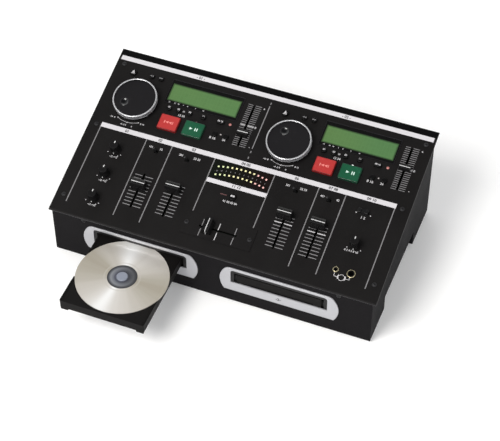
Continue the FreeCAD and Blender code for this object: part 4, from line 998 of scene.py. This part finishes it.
for side, centre in deckCentre.items():
    for key, (node, material, signs) in buttons["marks"].items():
        addTopSigns(f"{key}Mark_{side}", f"{node}_button_{side}", signs, (centre, 0), material)
    for key, settings in buttons["big"].items():
        addBigButton(side, key, *settings)
print("console: button marks ready")

# Small lamps that stand just out of the panel, placed from the middle of each deck or of the panel.
lampDots = [
    {"name": "trackLamps", "centres": deckCentre.values(), "place": (67.5, 186.3), "radius": 1.9,
     "rise": 0.9, "lens": "lampRed"},
    {"name": "modeLamps", "centres": deckCentre.values(), "place": (61.0, 168.5), "radius": 1.1,
     "rise": 0.7, "lens": "lampPale"},
    {"name": "relayLamp", "centres": [0], "place": (-12.4, 87.2), "bar": (9.0, 1.5), "corner": 0.4,
     "rise": 0.3, "lens": "lampDull"},
    {"name": "playLamp_right", "centres": [deckCentre["right"]], "place": (23.5, 176.0), "radius": 1.4,
     "rise": 0.8, "lens": "lampWhite"},
    {"name": "playLamp_left", "centres": [deckCentre["left"]], "place": (23.5, 176.0), "radius": 1.4,
     "rise": 0.8, "lens": "lampDull"},
]


def addLampDots():
    for dot in lampDots:
        mesh = bmesh.new()
        for centre in dot["centres"]:
            place = (centre + dot["place"][0], dot["place"][1])
            if "bar" in dot:
                addPlate(mesh, place, dot["bar"], printLow, dot["rise"], corner=dot["corner"])
            else:
                addDome(mesh, place, dot["radius"], printLow, dot["rise"])
        finishPiece(dot["name"], mesh, dot["lens"])


# The meter's lamps lie on two arcs, with small digits between them.
def addMeter():
    low, high = meter["lift"]
    reach, lamp = meter["pitch"] * (meter["count"] - 1) / 2, meter["lamp"]
    half = math.degrees(math.asin(reach / meter["radius"]))
    centreU = meter["first"] + reach
    rows = []
    for v in meter["rows"]:
        rows.append(markRing(meter["count"], (centreU, v - meter["radius"], (low + high) / 2),
                             meter["radius"], 90 + half, -2 * half, (lamp, lamp, high - low), "meterLamp"))
    placePiece("meterLamps", joinData("meterLamps", rows), "meterLamp", slot="meter_window")
    digits = bmesh.new()
    for i, text in enumerate(meter["digits"]):
        u = meter["first"] + meter["pitch"] * i
        drop = meter["radius"] - math.sqrt(meter["radius"] ** 2 - (u - centreU) ** 2)
        addDigits(digits, text, (u, meter["rows"][0] - meter["digitsDrop"] - drop), meter["digitsHeight"],
                  low, high)
    finishPiece("meterDigits", digits, "printGrey", slot="meter_window")


addLampDots()
addMeter()
print("console: lamps and meter ready")

# White lines in the saddles of the fader caps. The crossfader's also runs down its front.
capLines = {"channel": {"keys": (1, 2, 3, 4), "size": (18.6, 1.15), "lift": (13.0, 13.2)},
            "pitch": {"keys": ("left", "right"), "size": (14.7, 1.1), "lift": (5.25, 5.45)},
            "cross": {"wide": 1.0, "thick": 0.12, "sink": 0.83, "high": 0.1, "foot": 1.5}}


def addCapLines():
    for kind in ("channel", "pitch"):
        line = capLines[kind]
        for key in line["keys"]:
            node = f"{kind}_fader_{key}"
            mesh = bmesh.new()
            addPlate(mesh, middleOf(*panelBox(node)), line["size"], *line["lift"])
            finishPiece(f"{kind}Line_{key}", mesh, "capLine", node, "fader_black")
    line = capLines["cross"]
    mesh = bmesh.new()
    low, high = panelBox("crossfader")
    u, v = middleOf(low, high)
    saddle = high[2] - line["sink"]
    addPlate(mesh, (u, v), (line["wide"], high[1] - low[1] - line["high"]), saddle - line["thick"],
             saddle + line["high"])
    addPlate(mesh, (u, low[1]), (line["wide"], line["thick"]), line["foot"], saddle)
    finishPiece("crossLine", mesh, "capLine", "crossfader", "fader_black")


addCapLines()
print("console: fader caps lined")

# Round knobs: flutes round the grip, a pointer on top and a low white dot on the grip's front, an index dot
# that is partly a painted highlight.
knobs = {"nodes": {"treble_knob": (-171.8, 106.0), "bass_knob": (-171.8, 68.8),
                   "microphone_knob": (-171.8, 31.5), "monitor_knob": (171.8, 69.2)},
         "top": 15.0, "grip": (6.4, 5.6), "gripGap": 0.02, "gripLow": 2.8, "flutes": 24,
         "fluteSize": (0.5, 0.6, 9.6), "lean": 0.38, "pointer": (2.3, 5.5, 1.3),
         "pointerLift": (-0.02, 0.08), "dot": (0.0, -6.45),
         "glintDotSize": {"radius": 0.8, "low": 2.0, "rise": 1.6, "sides": 12, "rings": 3},
         "scaleDots": ((-9.0, -5.0), (9.0, -5.0), (6.0, -7.6)), "dotRadius": 0.7, "dotSides": 16,
         "squares": ((158.0, 114.0), (177.0, 114.0)), "squareSize": (1.6, 1.6), "squareCorner": 0.6}


def addKnob(node, place):
    u, v = place
    middle = sum(knobs["grip"]) / 2 + knobs["gripGap"]
    height = (knobs["top"] + knobs["gripLow"]) / 2
    flutes = fullRing(knobs["flutes"], (u, v, height), middle, knobs["fluteSize"], "knobBlack",
                      knobs["lean"])
    placePiece("flutes_" + node, flutes, "knobBlack", node, "knob_black")
    mesh = bmesh.new()
    inner, outer, width = knobs["pointer"]
    addPlate(mesh, (u, v + (inner + outer) / 2), (width, outer - inner),
             *[knobs["top"] + lift for lift in knobs["pointerLift"]])
    # The low white dot stands in part for a painted highlight on the front of the grip.
    addDome(mesh, (u + knobs["dot"][0], v + knobs["dot"][1]), **knobs["glintDotSize"])
    finishPiece("pointer_" + node, mesh, "capLine", node, "knob_black")


def addKnobs():
    dots = bmesh.new()
    sides = knobs["dotSides"]
    outline = [around((0, 0), knobs["dotRadius"], 360 * i / sides) for i in range(sides)]
    for node, place in knobs["nodes"].items():
        addKnob(node, place)
        for u, v in knobs["scaleDots"]:
            addOutline(dots, outline, (place[0] + u, place[1] + v), printLow, printHigh)
    for place in knobs["squares"]:
        addPlate(dots, place, knobs["squareSize"], printLow, printHigh, corner=knobs["squareCorner"])
    finishPiece("scaleDots", dots, "printWhite")


addKnobs()
print("console: knobs ready")

# The sign that joins the two headphone sockets.
phones = {"place": (170.0, 22.0), "radius": 4.0, "width": 0.7, "ringSides": 40,
          "pads": {"reach": 0.9, "width": 1.4, "half": 35, "sides": 8, "rise": 0.01},
          "lines": [((159.8, 26.3), (160.0, 22.0)), ((160.0, 22.0), (165.2, 21.4)),
                    ((174.8, 21.6), (180.0, 22.0)), ((180.0, 22.0), (180.0, 24.8))]}


def addStroke(mesh, start, stop, width, low, high):
    across, up = stop[0] - start[0], stop[1] - start[1]
    addPlate(mesh, middleOf(start, stop), (math.hypot(across, up), width), low, high,
             math.degrees(math.atan2(up, across)))


def addPhones():
    white = bmesh.new()
    place, radius, half, pads = phones["place"], phones["radius"], phones["width"] / 2, phones["pads"]
    addRing(white, place, [(radius - half, printLow), (radius + half, printLow), (radius + half, printHigh),
                           (radius - half, printHigh)], phones["ringSides"])
    for angle in (0, 180):
        addArcBand(white, place, radius + pads["reach"], pads["width"], angle - pads["half"],
                   angle + pads["half"], pads["sides"], printLow, printHigh + pads["rise"])
    for start, stop in phones["lines"]:
        addStroke(white, start, stop, phones["width"], printLow, printHigh)
    finishPiece("phonesSign", white, "printWhite")


addPhones()

# A mark on the relay button and the digits on the slot bezels.
bezel = {"digits": {"left": "-1-", "right": "-2-"}, "height": 33.0, "digitHeight": 4.2,
         "lift": (-0.02, 0.06)}


def addBezelDigits():
    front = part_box("slot_bezels")[0][1] / mm
    mesh = bmesh.new()
    for side, text in bezel["digits"].items():
        addDigits(mesh, text, (slotCentre[side], bezel["height"]), bezel["digitHeight"], *bezel["lift"])
    finishPiece("bezelDigits", mesh, "printDark", slot="silver_trim", matrix=wallMatrix(front))


addBezelDigits()
addTopSigns("relayMark", "relay_button", buttons["relay"], (0, 0))

# The back: liners in the phono sockets, and plain digits by the sockets, the rocker and the inlet.
rear = {"height": 62.0, "pitch": 14.0, "liner": (1.62, 3.3), "linerDepth": 0.6, "flare": 0.3,
        "linerSides": 40, "tip": 186.5, "phonos": {"1": -176.0, "2": -146.0, "3": -116.0, "4": -86.0},
        "others": {"5": -40.0, "6": 150.0}, "rockerX": 110.0, "rockerDigits": {"0": 15.0, "1": -15.0},
        "digitHeight": 3.6, "digitDrop": 20.0}


def addRear():
    white, red, digits = bmesh.new(), bmesh.new(), bmesh.new()
    inner, outer = rear["liner"]
    profile = [(inner, -rear["linerDepth"]), (outer, -rear["linerDepth"]), (outer, 0.0),
               (inner + rear["flare"], 0.0)]
    for x in rear["phonos"].values():
        for mesh, shift in ((white, rear["pitch"] / 2), (red, -rear["pitch"] / 2)):
            addRing(mesh, (-x, rear["height"] + shift), profile, rear["linerSides"])
    spots = [(text, x, -rear["digitDrop"]) for text, x in {**rear["phonos"], **rear["others"]}.items()]
    spots += [(text, rear["rockerX"], shift) for text, shift in rear["rockerDigits"].items()]
    for text, x, shift in spots:
        addDigits(digits, text, (-x, rear["height"] + shift), rear["digitHeight"], printLow, printHigh)
    tip, wall = wallMatrix(rear["tip"], rear=True), wallMatrix(rearWallY, rear=True)
    finishPiece("phonoLinersWhite", white, "insertWhite", slot="socket_brass", matrix=tip)
    finishPiece("phonoLinersRed", red, "insertRed", slot="socket_brass", matrix=tip)
    finishPiece("rearDigits", digits, "printWhite", slot="case_paint", matrix=wall)


addRear()
print("console: signs and back ready")

# The camera looks from the front and the right, from well above.
camera = {"azimuth": 21.431, "elevation": 47.556, "roll": -0.074, "lens": 120.28, "sensor": 36, "far": 50,
          "place": (0.55613, -1.34007, 1.65972)}


def placeCamera():
    azimuth, elevation = math.radians(camera["azimuth"]), math.radians(camera["elevation"])
    right = Vector((math.cos(azimuth), math.sin(azimuth), 0))
    forward = Vector((-math.sin(azimuth) * math.cos(elevation), math.cos(azimuth) * math.cos(elevation),
                      -math.sin(elevation)))
    turn = Matrix((right, right.cross(forward), -forward)).transposed().to_4x4()
    data = bpy.data.cameras.new("camera")
    data.sensor_width = camera["sensor"]
    data.lens = camera["lens"]
    data.clip_end = camera["far"]
    view = linked("camera", data)
    view.matrix_world = (Matrix.Translation(camera["place"]) @ turn
                         @ Matrix.Rotation(math.radians(camera["roll"]), 4, "Z"))
    bpy.context.scene.camera = view


placeCamera()

# Three soft area lamps: the key from the front left, a fill from the right and a weak one behind.
lamps = [
    {"name": "keyLamp", "place": (-0.66, -1.55, 2.05), "aim": (0, 0, 0.05), "size": 1.2, "power": 56,
     "color": (1.0, 0.985, 0.96)},
    {"name": "fillLamp", "place": (1.6, -1.4, 0.7), "aim": (0, 0, 0.05), "size": 1.6, "power": 8,
     "color": (0.95, 0.97, 1.0)},
    {"name": "backLamp", "place": (-0.6, 2.0, 1.2), "aim": (0, 0, 0.05), "size": 1.4, "power": 7,
     "color": (1.0, 1.0, 1.0)},
]


def placeLamp(lamp):
    data = bpy.data.lights.new(lamp["name"], "AREA")
    data.size = lamp["size"]
    data.energy = lamp["power"]
    data.color = lamp["color"]
    light = linked(lamp["name"], data)
    light.location = lamp["place"]
    light.rotation_mode = "QUATERNION"
    light.rotation_quaternion = (Vector(lamp["aim"]) - Vector(lamp["place"])).to_track_quat("-Z", "Y")


for lamp in lamps:
    placeLamp(lamp)

# Bright walls low down and a dark ceiling, which keeps the black panel black.
sky = {"low": (1.0, 1.0, 1.0), "high": (0.05, 0.05, 0.052), "lowUntil": 0.42, "highFrom": 0.92,
       "strength": 1.25}


def buildWorld():
    world = bpy.data.worlds.new("studio")
    world.use_nodes = True
    tree = world.node_tree
    coords = addNode(tree, "ShaderNodeTexCoord")
    height = splitNode(tree, coords.outputs["Generated"])[2]
    stops = [(sky["lowUntil"], sky["low"]), (sky["highFrom"], sky["high"])]
    light = colorRamp(tree, height, stops)
    plugAll(tree, tree.nodes["Background"], {"Color": light, "Strength": sky["strength"]})
    bpy.context.scene.world = world
    bpy.context.scene.view_settings.view_transform = "Standard"


buildWorld()

floorLook = {"half": 6.0, "color": (0.95, 0.95, 0.95), "wear": 0.0, "roughness": 0.9, "grain": 40,
             "bump": 0.02, "specular": 0.1, "glow": (1.0, 1.0, 1.0), "strength": 0.10}


def buildFloor():
    half = floorLook["half"]
    data = bpy.data.meshes.new("floor")
    corners = [(-half, -half, 0), (half, -half, 0), (half, half, 0), (-half, half, 0)]
    data.from_pydata(corners, [], [(0, 1, 2, 3)])
    data.materials.append(surfaceMaterial("floorWhite", floorLook))
    linked("floor", data)


buildFloor()
print("console: studio ready")
